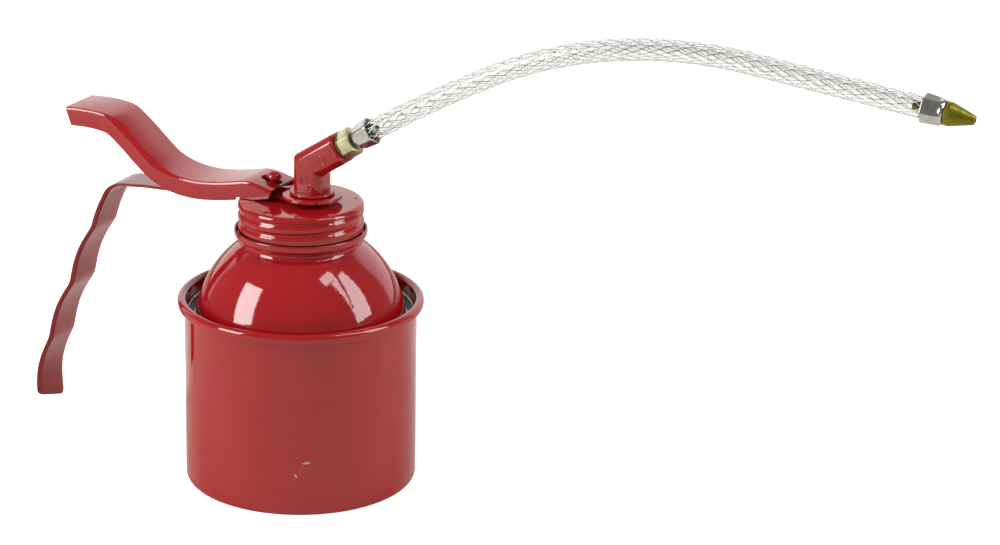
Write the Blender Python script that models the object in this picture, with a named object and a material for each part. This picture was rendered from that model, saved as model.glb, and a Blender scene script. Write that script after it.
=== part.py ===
"""Pump oil can with a flexible spout: one vessel, one screw-on pump head, a lever and a sprung pump.

Units are metres, +Z is up. The origin is the centre of the can's base.
The spout points along +X and the lever and grip strap along -X.
"""
import math

import bmesh
import bpy
from mathutils import Matrix, Vector

for old in list(bpy.data.objects):
    bpy.data.objects.remove(old, do_unlink=True)

# Clearances
GAP = 0.0003  # between pieces that seat on each other
SLIDE_GAP = 0.0004  # between pieces that turn or slide in each other
OVERRUN = 0.001  # how far a cutter runs past the face that it cuts

# Smoothness
LARGE_STEPS = 48
SMALL_STEPS = 20
CORNER_STEPS = 4
SWEEP_STEPS = 3
TUBE_SIDES = 14
EDGE_ANGLE = math.radians(35.0)
FULL_TURN = 2.0 * math.pi
QUARTER_TURN = 0.5 * math.pi

# Cup
CUP_RADIUS = 0.0440
CUP_HEIGHT = 0.0726
CUP_WALL = 0.0008
CUP_CORNER = 0.0020
BEAD_WIDTH = 0.0034
BEAD_HEIGHT = 0.0042

# Dome
GUTTER_DEPTH = 0.0062  # from the cup's rim down to the gutter's floor
GUTTER_WIDTH = 0.00345  # from the cup's wall in to the foot of the dome
DOME_SINK = 0.0060  # from the gutter's floor down to the centre of the dome's curve
DOME_WALL = 0.0008
DOME_SKIRT = 0.0050
GUTTER_CORNER = 0.0008
SEAM_WIDTH = 0.0011
SEAM_HEIGHT = 0.0007

# Neck of the dome, with its upturned lip
THROAT_RADIUS = 0.0226
LIP_RADIUS = 0.0251
LIP_RISE = 0.0038  # from the throat up to the underside of the lip
LIP_HEIGHT = 0.0030

# Rolled thread
THREAD_PITCH = 0.0044
THREAD_DEPTH = 0.0008
THREAD_SAMPLES = 6  # points along one pitch
GROOVE_SHARPNESS_SHARE = 2.0

# Screw cap and threaded neck
CAP_RADIUS = 0.0237
CAP_HEIGHT = 0.0104
CAP_WALL = 0.0009
CAP_CORNER = 0.0021
CAP_PLAIN_TOP = 0.0010  # plain skirt between the top corner and the thread
NECK_WALL = 0.0007
NECK_FLANGE = 0.0008
NECK_TAIL = 0.0045
NECK_LEAD = 0.0012
GASKET_HEIGHT = 0.0014
VENT_RADIUS = 0.0005
VENT_PLACE_SHARE = 0.875  # of the cap's radius
VENT_TURN = math.radians(33.0)

# Pump block under the cap
PUMP_OFFSET = 0.0113  # pump axis, towards the lever
RISER_OFFSET = 0.0048  # riser axis, towards the spout
BLOCK_HEIGHT = 0.0092
BLOCK_GASKET = 0.0010
BARREL_RADIUS = 0.0068
BARREL_WALL = 0.0009
BARREL_LENGTH = 0.0350
BARREL_SEAT = 0.0030
CHAMBER_HEIGHT = 0.0022
CHANNEL_WIDTH = 0.0040
CHANNEL_HEIGHT = 0.0014

# Rod, piston and spring
ROD_RADIUS = 0.0016
HEAD_RADIUS = 0.0029
SEAL_RING_WIDTH = 0.0014
SEAL_RING_HEIGHT = 0.0015
PISTON_FLANGE = 0.0026
PISTON_HUB_WALL = 0.0011
PISTON_HUB = 0.0074
PISTON_DROP = 0.0218  # from the barrel's top down to the piston's underside
SEAL_CUP_HEIGHT = 0.0030
SEAL_CUP_WALL = 0.0009
SEAT_FLANGE = 0.0014
SEAT_WALL = 0.0019
ROD_SOCKET = 0.0038
PORT_RADIUS = 0.0008
SPRING_WIRE = 0.0005
SPRING_TURNS = 6
SPRING_POINTS = 10  # points in one turn

# Valve balls and foot valve
BALL_RADIUS = 0.0020
BALL_LIFT = 0.0012
VALVE_HOLE = 0.0013
FOOT_FLANGE = 0.0020
FOOT_SEAT = 0.0012
FOOT_NIPPLE = 0.0055
SUCTION_RADIUS = 0.0032
SUCTION_WALL = 0.0007
SUCTION_CLEARANCE = 0.0090  # from the can's base up to the tube's end
STRAINER_HEIGHT = 0.0065
STRAINER_WALL = 0.0008
STRAINER_DROP = 0.0035
STRAINER_SLOT = 0.0010

# Grip strap
STRAP_SHEET = 0.0014
STRAP_HALF_WIDTH = 0.0092
TONGUE_HALF_WIDTH = 0.0068
STRAP_REACH = 0.0721  # from the can's axis out to the strap's shoulder
STRAP_STEP_DOWN = 0.0036
STRAP_TAPER_START = 0.0640  # from the can's axis, clear of the lever's flanges when it is squeezed
SHOULDER_RADIUS = 0.0095
RIDGE_PITCH = 0.0264
RIDGE_DEPTH = 0.0018
RIDGE_COUNT = 3
HAND_LEAN = math.radians(22.9)
HAND_START = 0.0148  # from the shoulder's end to the first finger ridge
TAIL_RUN = 0.0310
TAIL_LEAN = math.radians(10.2)
TAIL_DEPTH = 0.0031
TAIL_SHARE = 0.82  # how much of its wave the tail has before it is cut off
TAIL_CORNER = 0.0023
# How far along its reach the tongue is, and what share of its step it has gone down there
TONGUE_SHARES = ((0.0, 0.0), (0.33, 0.0), (0.50, 0.80), (0.70, 1.0), (1.0, 1.22))

# Lever
LEVER_SHEET = 0.0010
LEVER_HALF_WIDTH = 0.0086
LEVER_FLANGE = 0.0066
LEVER_FOLD = 0.0014
LEVER_START = 0.0076  # inner end, from the can's axis
LEVER_REACH = 0.0900
LEVER_RISE = 0.0247  # from the cap's top up to the highest point
TOE_START = 0.0150
TOE_END = 0.0202
TOE_RELIEF = 0.0042
KEYHOLE_RADIUS = 0.0034
KEYHOLE_PLACE = 0.0162
SLOT_PLACE = 0.01055
SLOT_RADIUS = 0.00195
# The lever's top line: share of its reach, then share of its rise
LEVER_TOP_SHARES = (
    (0.0, 0.160), (0.071, 0.235), (0.128, 0.260), (0.201, 0.213), (0.285, 0.162),
    (0.375, 0.139), (0.460, 0.176), (0.533, 0.277), (0.594, 0.446), (0.656, 0.648),
    (0.718, 0.834), (0.769, 0.943), (0.836, 0.988), (0.915, 1.0), (1.0, 0.984),
)

# Elbow and its clamp washer
WASHER_RADIUS = 0.0114
WASHER_HEIGHT = 0.0013
FLANGE_RADIUS = 0.0085
FLANGE_HEIGHT = 0.0011
SHANK_RADIUS = 0.0042
SHANK_LENGTH = 0.0098
ELBOW_HALF = 0.0060
ELBOW_CHAMFER = 0.0023
ELBOW_RISE = 0.0103  # from the flange up to the crossing of the two axes
ARM_LENGTH = 0.0153
ARM_ANGLE = math.radians(33.0)
BORE_RADIUS = 0.0020

# Spout nipple and ferrules
NIPPLE_WASHER = 0.0005
HEX_CORNER = 0.0058
HEX_LENGTH = 0.0053
HEX_SIDES = 6
NIPPLE_THREAD = 0.0034
NIPPLE_THREAD_LENGTH = 0.0060
BARB_RADIUS = 0.0021
BARB_LENGTH = 0.0110
BARB_RIDGE = 0.0002
BARB_RIDGES = 3
FERRULE_LENGTH = 0.0084
FERRULE_SMALL = 0.0041
FERRULE_STEP = 0.0050
FERRULE_LARGE = 0.0055
FERRULE_NECK = 0.0017
POLYGON_STEPS = 24

# Hose
HOSE_RADIUS = 0.0040
HOSE_BORE = 0.0025
HOSE_PIVOT_SHARE = 0.45  # of the hose's length, from its root
HOSE_STATION = 0.0110
# Places past the pivot, as shares of the hose's radius, where the ball end and its socket are drawn
BALL_SHARES = (0.0, 0.3, 0.5, 0.65)
SOCKET_SHARES = (0.5, 0.66, 0.8, 0.9)
# The hose's course: length of each bend, then its heading at the end of it
COURSE_START = math.radians(33.0)
RISE_BEND = 0.0600
RISE_HEADING = math.radians(27.2)
CROWN_BEND = 0.1036
CROWN_HEADING = math.radians(-6.2)
TIP_RUN = 0.0680

# Nozzle
NOZZLE_RADIUS = 0.0041
NOZZLE_LENGTH = 0.0108
NOZZLE_COLLAR = 0.0022
NOZZLE_TIP = 0.0012
NOZZLE_BORE = 0.0007

# The dome's curve, worked out from its foot
CUP_BORE = CUP_RADIUS - CUP_WALL
DOME_RADIUS = math.hypot(CUP_BORE - GUTTER_WIDTH, DOME_SINK)

# Heights worked out from the sizes above
GUTTER_Z = CUP_HEIGHT - GUTTER_DEPTH
DOME_CENTRE_Z = GUTTER_Z - DOME_SINK
THROAT_Z = DOME_CENTRE_Z + math.sqrt(DOME_RADIUS**2 - THROAT_RADIUS**2)
LIP_Z = THROAT_Z + LIP_RISE
NECK_FLANGE_Z = LIP_Z + DOME_WALL + GAP
CAP_BOTTOM_Z = NECK_FLANGE_Z + NECK_FLANGE + GAP
CAP_TOP_Z = CAP_BOTTOM_Z + CAP_HEIGHT
CAP_UNDER_Z = CAP_TOP_Z - CAP_WALL
GASKET_Z = CAP_UNDER_Z - GAP - GASKET_HEIGHT
NECK_TOP_Z = GASKET_Z - GAP
BLOCK_GASKET_Z = CAP_UNDER_Z - GAP - BLOCK_GASKET
BLOCK_TOP_Z = BLOCK_GASKET_Z - GAP
BLOCK_Z = BLOCK_TOP_Z - BLOCK_HEIGHT
BARREL_TOP_Z = BLOCK_Z + BARREL_SEAT - GAP
BARREL_Z = BARREL_TOP_Z - BARREL_LENGTH
CHAMBER_Z = BLOCK_Z + BARREL_SEAT
CHAMBER_TOP_Z = CHAMBER_Z + CHAMBER_HEIGHT
PISTON_Z = BARREL_TOP_Z - PISTON_DROP
STRAP_Z = CAP_TOP_Z + GAP
STRAP_TOP_Z = STRAP_Z + STRAP_SHEET
WASHER_Z = STRAP_TOP_Z + GAP
FLANGE_Z = WASHER_Z + WASHER_HEIGHT + GAP
ELBOW_Z = FLANGE_Z + FLANGE_HEIGHT
CROSSING_Z = ELBOW_Z + ELBOW_RISE

# Radii worked out from the sizes above
THREAD_OUTER = CAP_RADIUS
THREAD_INNER = CAP_RADIUS - CAP_WALL
NECK_CREST = THREAD_INNER - SLIDE_GAP - SLIDE_GAP / 2
NECK_BORE = NECK_CREST - THREAD_DEPTH - NECK_WALL
BLOCK_RADIUS = NECK_BORE - SLIDE_GAP
BARREL_BORE = BARREL_RADIUS - BARREL_WALL
BALL_BORE = BALL_RADIUS + GAP
PISTON_HUB_RADIUS = BALL_BORE + PISTON_HUB_WALL
PISTON_RADIUS = BARREL_BORE - SLIDE_GAP
ROD_HOLE = ROD_RADIUS + GAP
GLAND_RADIUS = ROD_HOLE + SEAL_RING_WIDTH
SHANK_HOLE = SHANK_RADIUS + GAP

PUMP_AXIS = Vector((-PUMP_OFFSET, 0, 0))
RISER_AXIS = Vector((RISER_OFFSET, 0, 0))
LEVER_PIVOT = Vector((-TOE_END, 0, CAP_TOP_Z + GAP))
CROSSING = Vector((RISER_OFFSET, 0, CROSSING_Z))
ARM_WAY = Vector((math.cos(ARM_ANGLE), 0, math.sin(ARM_ANGLE)))


def material(name, colour, roughness, metallic, alpha=1.0):
    """One Principled material with a plain colour."""
    made = bpy.data.materials.new(name)
    made.use_nodes = True
    shader = made.node_tree.nodes["Principled BSDF"]
    shader.inputs["Base Color"].default_value = (*colour, 1.0)
    shader.inputs["Roughness"].default_value = roughness
    shader.inputs["Metallic"].default_value = metallic
    shader.inputs["Alpha"].default_value = alpha
    return made


def red_enamel(piece):
    """Glossy red stove enamel on steel."""
    return material(f"red_enamel_{piece}", (0.43, 0.018, 0.022), 0.18, 0.0)


def bare_steel(piece):
    """Plain drawn steel."""
    return material(f"bare_steel_{piece}", (0.52, 0.52, 0.53), 0.35, 1.0)


def nickel(piece):
    """Bright nickel plate."""
    return material(f"nickel_{piece}", (0.78, 0.78, 0.76), 0.18, 1.0)


def yellow_zinc(piece):
    """Yellow chromated zinc plate."""
    return material(f"yellow_zinc_{piece}", (0.62, 0.58, 0.30), 0.32, 1.0)


def brass(piece):
    """Brass, a little dulled."""
    return material(f"brass_{piece}", (0.46, 0.40, 0.12), 0.38, 1.0)


def black_rubber(piece):
    """Black nitrile rubber."""
    return material(f"black_rubber_{piece}", (0.02, 0.02, 0.02), 0.7, 0.0)


def fibre(piece):
    """Brown sealing fibre."""
    return material(f"fibre_{piece}", (0.30, 0.17, 0.09), 0.8, 0.0)


def zinc_casting(piece):
    """Bare zinc die casting."""
    return material(f"zinc_casting_{piece}", (0.45, 0.46, 0.48), 0.45, 1.0)


def clear_pvc(piece):
    """Clear hose with white braid in its wall."""
    return material(f"clear_pvc_{piece}", (0.82, 0.84, 0.84), 0.12, 0.0, 0.7)


def arc(radius_at, height_at, radius, start, end, steps=CORNER_STEPS):
    """Points of a round stretch in the plane of radius and height."""
    points = []
    for step in range(steps + 1):
        angle = start + (end - start) * step / steps
        points.append((radius_at + radius * math.cos(angle), height_at + radius * math.sin(angle)))
    return points


def finish(name, shape, paint, origin=None):
    """Turn a bmesh in world places into a named object with its origin where it belongs."""
    bmesh.ops.remove_doubles(shape, verts=shape.verts, dist=1e-6)
    bmesh.ops.dissolve_degenerate(shape, dist=1e-6, edges=shape.edges)
    bmesh.ops.recalc_face_normals(shape, faces=shape.faces)
    if shape.calc_volume(signed=True) < 0:
        bmesh.ops.reverse_faces(shape, faces=shape.faces)
    mesh = bpy.data.meshes.new(name)
    shape.to_mesh(mesh)
    shape.free()
    mesh.shade_smooth()
    mesh.set_sharp_from_angle(angle=EDGE_ANGLE)
    mesh.materials.append(paint)
    made = bpy.data.objects.new(name, mesh)
    bpy.context.scene.collection.objects.link(made)
    if origin is not None:
        mesh.transform(Matrix.Translation(-origin))
        made.location = origin
    return made


def spun(outline, steps):
    """A closed outline of radius and height, spun once around +Z."""
    shape = bmesh.new()
    rim = [shape.verts.new((radius, 0, height)) for radius, height in outline]
    edges = [shape.edges.new((rim[at - 1], rim[at])) for at in range(len(rim))]
    bmesh.ops.spin(
        shape, geom=rim + edges, cent=(0, 0, 0), axis=(0, 0, 1),
        angle=FULL_TURN, steps=steps, use_merge=True,
    )
    bmesh.ops.remove_doubles(shape, verts=shape.verts, dist=1e-6)
    return shape


def turned(name, outline, paint, steps=SMALL_STEPS, axis=None, lay=None):
    """A turned piece on +Z, moved to its axis or laid by a matrix."""
    shape = spun(outline, steps)
    if lay is not None:
        shape.transform(lay)
        return finish(name, shape, paint, lay.translation)
    if axis is not None:
        shape.transform(Matrix.Translation(axis))
    return finish(name, shape, paint, axis)


def ring(inner, outer, low, high):
    """Outline of a plain ring."""
    return [(inner, low), (outer, low), (outer, high), (inner, high)]


def swept(name, sections, paint, origin=None):
    """A solid skin over a row of sections with equal numbers of points."""
    shape = bmesh.new()
    rows = [[shape.verts.new(point) for point in section] for section in sections]
    count = len(rows[0])
    for first, second in zip(rows, rows[1:]):
        for at in range(count):
            shape.faces.new((first[at - 1], first[at], second[at], second[at - 1]))
    shape.faces.new(rows[0])
    shape.faces.new(list(reversed(rows[-1])))
    return finish(name, shape, paint, origin)


def along(point, heading):
    """Matrix that lays a +Z piece at a point, pointing at a heading in the XZ plane."""
    return Matrix.Translation(point) @ Matrix.Rotation(QUARTER_TURN - heading, 4, "Y")


def smooth_line(points, steps=SWEEP_STEPS):
    """A smooth curve through points in the plane, with even steps between them."""
    line = []
    for at in range(len(points) - 1):
        before = Vector(points[max(at - 1, 0)])
        start, end = Vector(points[at]), Vector(points[at + 1])
        after = Vector(points[min(at + 2, len(points) - 1)])
        for step in range(steps):
            t = step / steps
            pull = (end - before) / 2
            push = (after - start) / 2
            line.append(
                start * (2 * t**3 - 3 * t**2 + 1) + pull * (t**3 - 2 * t**2 + t)
                + end * (3 * t**2 - 2 * t**3) + push * (t**3 - t**2)
            )
    line.append(Vector(points[-1]))
    return line


def normals(line):
    """Unit normals of a line in the plane, a quarter turn left of its way."""
    made = []
    for at in range(len(line)):
        way = line[min(at + 1, len(line) - 1)] - line[max(at - 1, 0)]
        made.append(Vector((-way.y, way.x)).normalized())
    return made


def cutter(name, shape):
    """A shape that only cuts: hidden from render and drawn as wire."""
    bmesh.ops.recalc_face_normals(shape, faces=shape.faces)
    mesh = bpy.data.meshes.new(name)
    shape.to_mesh(mesh)
    shape.free()
    made = bpy.data.objects.new(name, mesh)
    bpy.context.scene.collection.objects.link(made)
    made.hide_render = True
    made.display_type = "WIRE"
    return made


def cut(target, tool):
    """Take the tool's shape out of the target."""
    change = target.modifiers.new(f"cut_{tool.name}", "BOOLEAN")
    change.operation = "DIFFERENCE"
    change.solver = "EXACT"
    change.object = tool


def round_tool(name, radius, low, high, place, turn=None):
    """A round cutter from low to high on +Z, then turned and moved to its place."""
    shape = bmesh.new()
    bmesh.ops.create_cone(
        shape, cap_ends=True, segments=SMALL_STEPS, radius1=radius, radius2=radius, depth=high - low,
        matrix=Matrix.Translation((0, 0, (high + low) / 2)),
    )
    if turn is not None:
        shape.transform(turn)
    shape.transform(Matrix.Translation(place))
    return cutter(name, shape)


def box_tool(name, low, high):
    """A box cutter between two corners."""
    shape = bmesh.new()
    low, high = Vector(low), Vector(high)
    size = high - low
    place = Matrix.Translation((low + high) / 2) @ Matrix.Diagonal((*size, 1.0))
    bmesh.ops.create_cube(shape, size=1.0, matrix=place)
    return cutter(name, shape)


def groove(height, turn):
    """How deep the rolled groove is there, from 0 on the crest to 1 in the root."""
    phase = FULL_TURN * (height - CAP_BOTTOM_Z) / THREAD_PITCH - turn
    return ((1 - math.cos(phase)) / 2) ** GROOVE_SHARPNESS_SHARE


def roll_thread(shape, low, high, least_radius, fade_low, fade_high):
    """Roll the thread into the vertices between two heights and outside a radius."""
    for vert in shape.verts:
        radius = math.hypot(vert.co.x, vert.co.y)
        if not low <= vert.co.z <= high or radius < least_radius:
            continue
        rise = min(1.0, (vert.co.z - low) / fade_low) if fade_low else 1.0
        fall = min(1.0, (high - vert.co.z) / fade_high) if fade_high else 1.0
        depth = THREAD_DEPTH * groove(vert.co.z, math.atan2(vert.co.y, vert.co.x)) * rise * fall
        vert.co.x *= (radius - depth) / radius
        vert.co.y *= (radius - depth) / radius


def thread_heights(low, high):
    """Heights that sample the thread evenly."""
    count = max(2, round((high - low) / THREAD_PITCH * THREAD_SAMPLES))
    return [low + (high - low) * at / count for at in range(count + 1)]


def build_cup():
    """The drawn cup with its rolled rim."""
    bead_round = BEAD_WIDTH / 2
    bead_centre = CUP_BORE + bead_round
    bead_top = CUP_HEIGHT - bead_round
    bead_bottom = CUP_HEIGHT - BEAD_HEIGHT + bead_round
    outline = [(0, 0)]
    outline += arc(CUP_RADIUS - CUP_CORNER, CUP_CORNER, CUP_CORNER, -QUARTER_TURN, 0)
    outline += [(CUP_RADIUS, bead_bottom - bead_round)]
    outline += arc(bead_centre, bead_bottom, bead_round, -QUARTER_TURN / 2, 0)
    outline += arc(bead_centre, bead_top, bead_round, 0, 2 * QUARTER_TURN, 2 * CORNER_STEPS)
    inside = CUP_CORNER - CUP_WALL
    outline += list(reversed(arc(CUP_BORE - inside, CUP_CORNER, inside, -QUARTER_TURN, 0)))
    outline += [(0, CUP_WALL)]
    return turned("base_cup", outline, red_enamel("cup"), LARGE_STEPS)


def dome_line(offset):
    """The dome's line from its skirt up to the upturned lip, moved inwards by offset."""
    seat = CUP_BORE - GAP - offset
    radius = DOME_RADIUS - offset
    floor_z = GUTTER_Z - offset
    throat = THROAT_RADIUS - offset
    throat_z = DOME_CENTRE_Z + math.sqrt(radius**2 - throat**2)
    foot = math.asin((DOME_SINK - offset) / radius)
    top = math.atan2(throat_z - DOME_CENTRE_Z, throat)
    line = [(seat, GUTTER_Z - DOME_SKIRT)]
    line += arc(seat - GUTTER_CORNER, floor_z - GUTTER_CORNER, GUTTER_CORNER, 0, QUARTER_TURN, 2)
    line += arc(0, DOME_CENTRE_Z, radius, foot, top, 2 * CORNER_STEPS)
    bend = (LIP_Z - THROAT_Z) / 2
    line += [(throat, LIP_Z + offset - bend)]
    line += arc(LIP_RADIUS - bend, LIP_Z + bend, bend - offset, -QUARTER_TURN, 0, CORNER_STEPS)
    return line


def build_dome():
    """The drawn dome, its gutter floor and its upturned lip, as one sheet."""
    outer = dome_line(0)
    inner = dome_line(DOME_WALL)
    lip_top = LIP_Z + LIP_HEIGHT
    outline = outer + [(LIP_RADIUS, lip_top), (LIP_RADIUS - DOME_WALL, lip_top)]
    outline += list(reversed(inner))
    return turned("dome_shoulder", outline, red_enamel("dome"), LARGE_STEPS)


def build_seam():
    """The bead of solder that seals the dome in the cup."""
    outer = CUP_BORE - GAP
    low = GUTTER_Z + GAP
    outline = [(outer - SEAM_WIDTH, low), (outer, low), (outer, low + SEAM_HEIGHT)]
    paint = material("grey_solder", (0.42, 0.41, 0.39), 0.5, 0.6)
    return turned("seam_solder", outline, paint, LARGE_STEPS)


def build_neck():
    """The rolled neck that stands in the dome's lip and takes the cap."""
    foot = THROAT_RADIUS - DOME_WALL - GAP
    flange = CAP_RADIUS - GAP
    lead_z = NECK_TOP_Z - NECK_LEAD
    root = NECK_CREST - THREAD_DEPTH
    outline = [(NECK_BORE, NECK_FLANGE_Z - NECK_TAIL), (foot, NECK_FLANGE_Z - NECK_TAIL)]
    outline += [(foot, NECK_FLANGE_Z), (flange, NECK_FLANGE_Z), (flange, NECK_FLANGE_Z + NECK_FLANGE)]
    low = NECK_FLANGE_Z + NECK_FLANGE
    outline += [(NECK_CREST, height) for height in thread_heights(low, lead_z)]
    outline += [(root, lead_z + NECK_LEAD / 2), (root, NECK_TOP_Z), (NECK_BORE, NECK_TOP_Z)]
    shape = spun(outline, LARGE_STEPS)
    roll_thread(shape, low + OVERRUN / 10, lead_z, root + THREAD_DEPTH / 2, 0, 0)
    return finish("threaded_neck", shape, bare_steel("neck"))


def build_neck_gasket():
    """The flat ring that seals the cap on the neck."""
    inner = NECK_BORE + GAP
    outline = ring(inner, NECK_CREST - THREAD_DEPTH, GASKET_Z, GASKET_Z + GASKET_HEIGHT)
    return turned("neck_gasket", outline, black_rubber("neck"), LARGE_STEPS)


def build_cap():
    """The screw cap with its rolled thread, which carries the whole pump."""
    thread_top = CAP_TOP_Z - CAP_CORNER - CAP_PLAIN_TOP
    heights = thread_heights(CAP_BOTTOM_Z, thread_top)
    outline = [(THREAD_OUTER, height) for height in heights]
    outline += arc(CAP_RADIUS - CAP_CORNER, CAP_TOP_Z - CAP_CORNER, CAP_CORNER, 0, QUARTER_TURN)
    hole = GAP + SHANK_RADIUS
    inner_corner = CAP_CORNER - CAP_WALL
    outline += [(0, CAP_TOP_Z), (0, CAP_UNDER_Z)]
    outline += list(reversed(arc(
        THREAD_INNER - inner_corner, CAP_UNDER_Z - inner_corner, inner_corner, 0, QUARTER_TURN, 2,
    )))
    outline += [(THREAD_INNER, height) for height in reversed(heights)]
    shape = spun(outline, LARGE_STEPS)
    roll_thread(
        shape, CAP_BOTTOM_Z, thread_top, THREAD_INNER - CAP_WALL / 2,
        THREAD_PITCH / 2, THREAD_PITCH / 4,
    )
    cap = finish("screw_cap", shape, red_enamel("cap"))
    low, high = CAP_UNDER_Z - OVERRUN, CAP_TOP_Z + OVERRUN
    cut(cap, round_tool("cap_riser_hole", hole, low, high, RISER_AXIS))
    cut(cap, round_tool("cap_rod_hole", GLAND_RADIUS + GAP, low, high, PUMP_AXIS))
    vent = CAP_RADIUS * VENT_PLACE_SHARE
    place = Vector((vent * math.cos(VENT_TURN), vent * math.sin(VENT_TURN), 0))
    cut(cap, round_tool("cap_vent_hole", VENT_RADIUS, low, high, place))
    return cap


def build_block_gasket():
    """The sealing sheet between the cap and the pump block."""
    outline = [(0, BLOCK_GASKET_Z), (BLOCK_RADIUS, BLOCK_GASKET_Z)]
    outline += [(BLOCK_RADIUS, BLOCK_GASKET_Z + BLOCK_GASKET), (0, BLOCK_GASKET_Z + BLOCK_GASKET)]
    sheet = turned("block_gasket", outline, fibre("block"), LARGE_STEPS // 2)
    low, high = BLOCK_GASKET_Z - OVERRUN, CAP_UNDER_Z
    cut(sheet, round_tool("gasket_riser_hole", SHANK_HOLE, low, high, RISER_AXIS))
    cut(sheet, round_tool("gasket_rod_hole", GLAND_RADIUS + GAP, low, high, PUMP_AXIS))
    return sheet


def build_block():
    """The cast block under the cap, with its barrel seat, gland, riser thread and cross channel."""
    outline = [(0, BLOCK_Z), (BLOCK_RADIUS, BLOCK_Z), (BLOCK_RADIUS, BLOCK_TOP_Z), (0, BLOCK_TOP_Z)]
    block = turned("pump_block", outline, zinc_casting("block"), LARGE_STEPS // 2)
    below, above = BLOCK_Z - OVERRUN, BLOCK_TOP_Z + OVERRUN
    cut(block, round_tool("barrel_seat", BARREL_RADIUS + GAP, below, CHAMBER_Z, PUMP_AXIS))
    chamber_low = CHAMBER_Z - OVERRUN
    cut(block, round_tool("pump_chamber", BARREL_BORE, chamber_low, CHAMBER_TOP_Z, PUMP_AXIS))
    cut(block, round_tool("rod_bore", ROD_HOLE, CHAMBER_Z, above, PUMP_AXIS))
    gland_low = BLOCK_TOP_Z - SEAL_RING_HEIGHT - 3 * GAP
    cut(block, round_tool("gland_bore", GLAND_RADIUS + GAP, gland_low, above, PUMP_AXIS))
    riser_low = FLANGE_Z - SHANK_LENGTH - CHANNEL_HEIGHT - GAP
    cut(block, round_tool("riser_bore", SHANK_HOLE, riser_low, above, RISER_AXIS))
    half = CHANNEL_WIDTH / 2
    low = (-PUMP_OFFSET, -half, CHAMBER_TOP_Z - CHANNEL_HEIGHT)
    cut(block, box_tool("cross_channel", low, (RISER_OFFSET, half, CHAMBER_TOP_Z - OVERRUN / 10)))
    return block


def build_rod_seal():
    """The ring that seals the rod in the block."""
    centre_z = BLOCK_TOP_Z - SEAL_RING_HEIGHT / 2 - GAP
    half = SEAL_RING_WIDTH / 2
    middle = ROD_HOLE + half
    outline = []
    for step in range(8):
        angle = FULL_TURN * step / 8
        outline.append((
            middle + half * math.cos(angle), centre_z + SEAL_RING_HEIGHT / 2 * math.sin(angle),
        ))
    return turned("rod_seal", outline, black_rubber("rod"), axis=PUMP_AXIS)


def build_rod_bush():
    """The brass bush that guides the rod through the cap and holds its seal down."""
    outline = ring(ROD_HOLE, GLAND_RADIUS, BLOCK_TOP_Z, CAP_TOP_Z - GAP)
    return turned("rod_bush", outline, brass("bush"), axis=PUMP_AXIS)


def build_barrel():
    """The pump barrel that hangs from the block."""
    outline = ring(BARREL_BORE, BARREL_RADIUS, BARREL_Z, BARREL_TOP_Z)
    return turned("pump_barrel", outline, brass("barrel"), axis=PUMP_AXIS)


def build_foot_valve():
    """The foot valve that closes the barrel's lower end and cages the inlet ball."""
    plug = BARREL_BORE - GAP
    flange_low = BARREL_Z - GAP - FOOT_FLANGE
    seat_z = BARREL_Z + FOOT_SEAT
    top = seat_z + GAP + 2 * BALL_RADIUS + BALL_LIFT + FOOT_SEAT
    roof = top - FOOT_SEAT + GAP
    nipple = SUCTION_RADIUS - SUCTION_WALL - GAP
    outline = [(VALVE_HOLE, flange_low - FOOT_NIPPLE), (nipple, flange_low - FOOT_NIPPLE)]
    outline += [(nipple, flange_low), (BARREL_RADIUS, flange_low), (BARREL_RADIUS, BARREL_Z - GAP)]
    outline += [(plug, BARREL_Z - GAP), (plug, top), (VALVE_HOLE, top), (VALVE_HOLE, roof)]
    outline += [(BALL_BORE, roof), (BALL_BORE, seat_z), (VALVE_HOLE, seat_z)]
    return turned("foot_valve_body", outline, brass("foot_valve"), axis=PUMP_AXIS)


def ball_rise():
    """Height of a ball's centre over the rim of its valve hole, with the seating gap."""
    return math.sqrt(BALL_RADIUS**2 - VALVE_HOLE**2) + GAP


def build_ball(name, height):
    """A steel valve ball with its centre at a height on the pump's axis."""
    shape = bmesh.new()
    place = PUMP_AXIS + Vector((0, 0, height))
    bmesh.ops.create_icosphere(
        shape, subdivisions=2, radius=BALL_RADIUS, matrix=Matrix.Translation(place),
    )
    return finish(name, shape, bare_steel(name), place)


def build_suction_tube():
    """The tube that reaches down to the bottom of the can."""
    top = BARREL_Z - 2 * GAP - FOOT_FLANGE
    outline = ring(SUCTION_RADIUS - SUCTION_WALL, SUCTION_RADIUS, SUCTION_CLEARANCE, top)
    return turned("suction_tube", outline, brass("suction_tube"), axis=PUMP_AXIS)


def build_strainer():
    """The slotted strainer cap on the suction tube's end."""
    bore = SUCTION_RADIUS + GAP
    outer = bore + STRAINER_WALL
    low = SUCTION_CLEARANCE - STRAINER_DROP
    floor = low + STRAINER_WALL
    outline = [(0, low), (outer, low), (outer, low + STRAINER_HEIGHT), (bore, low + STRAINER_HEIGHT)]
    outline += [(bore, floor), (0, floor)]
    strainer = turned("suction_strainer", outline, bare_steel("strainer"), axis=PUMP_AXIS)
    half = STRAINER_SLOT / 2
    slot_low = floor + half
    slot_high = SUCTION_CLEARANCE - half
    reach = outer + OVERRUN
    for name, across in (("strainer_slot_x", (reach, half)), ("strainer_slot_y", (half, reach))):
        low_corner = (-PUMP_OFFSET - across[0], -across[1], slot_low)
        high_corner = (-PUMP_OFFSET + across[0], across[1], slot_high)
        cut(strainer, box_tool(name, low_corner, high_corner))
    return strainer


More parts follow.
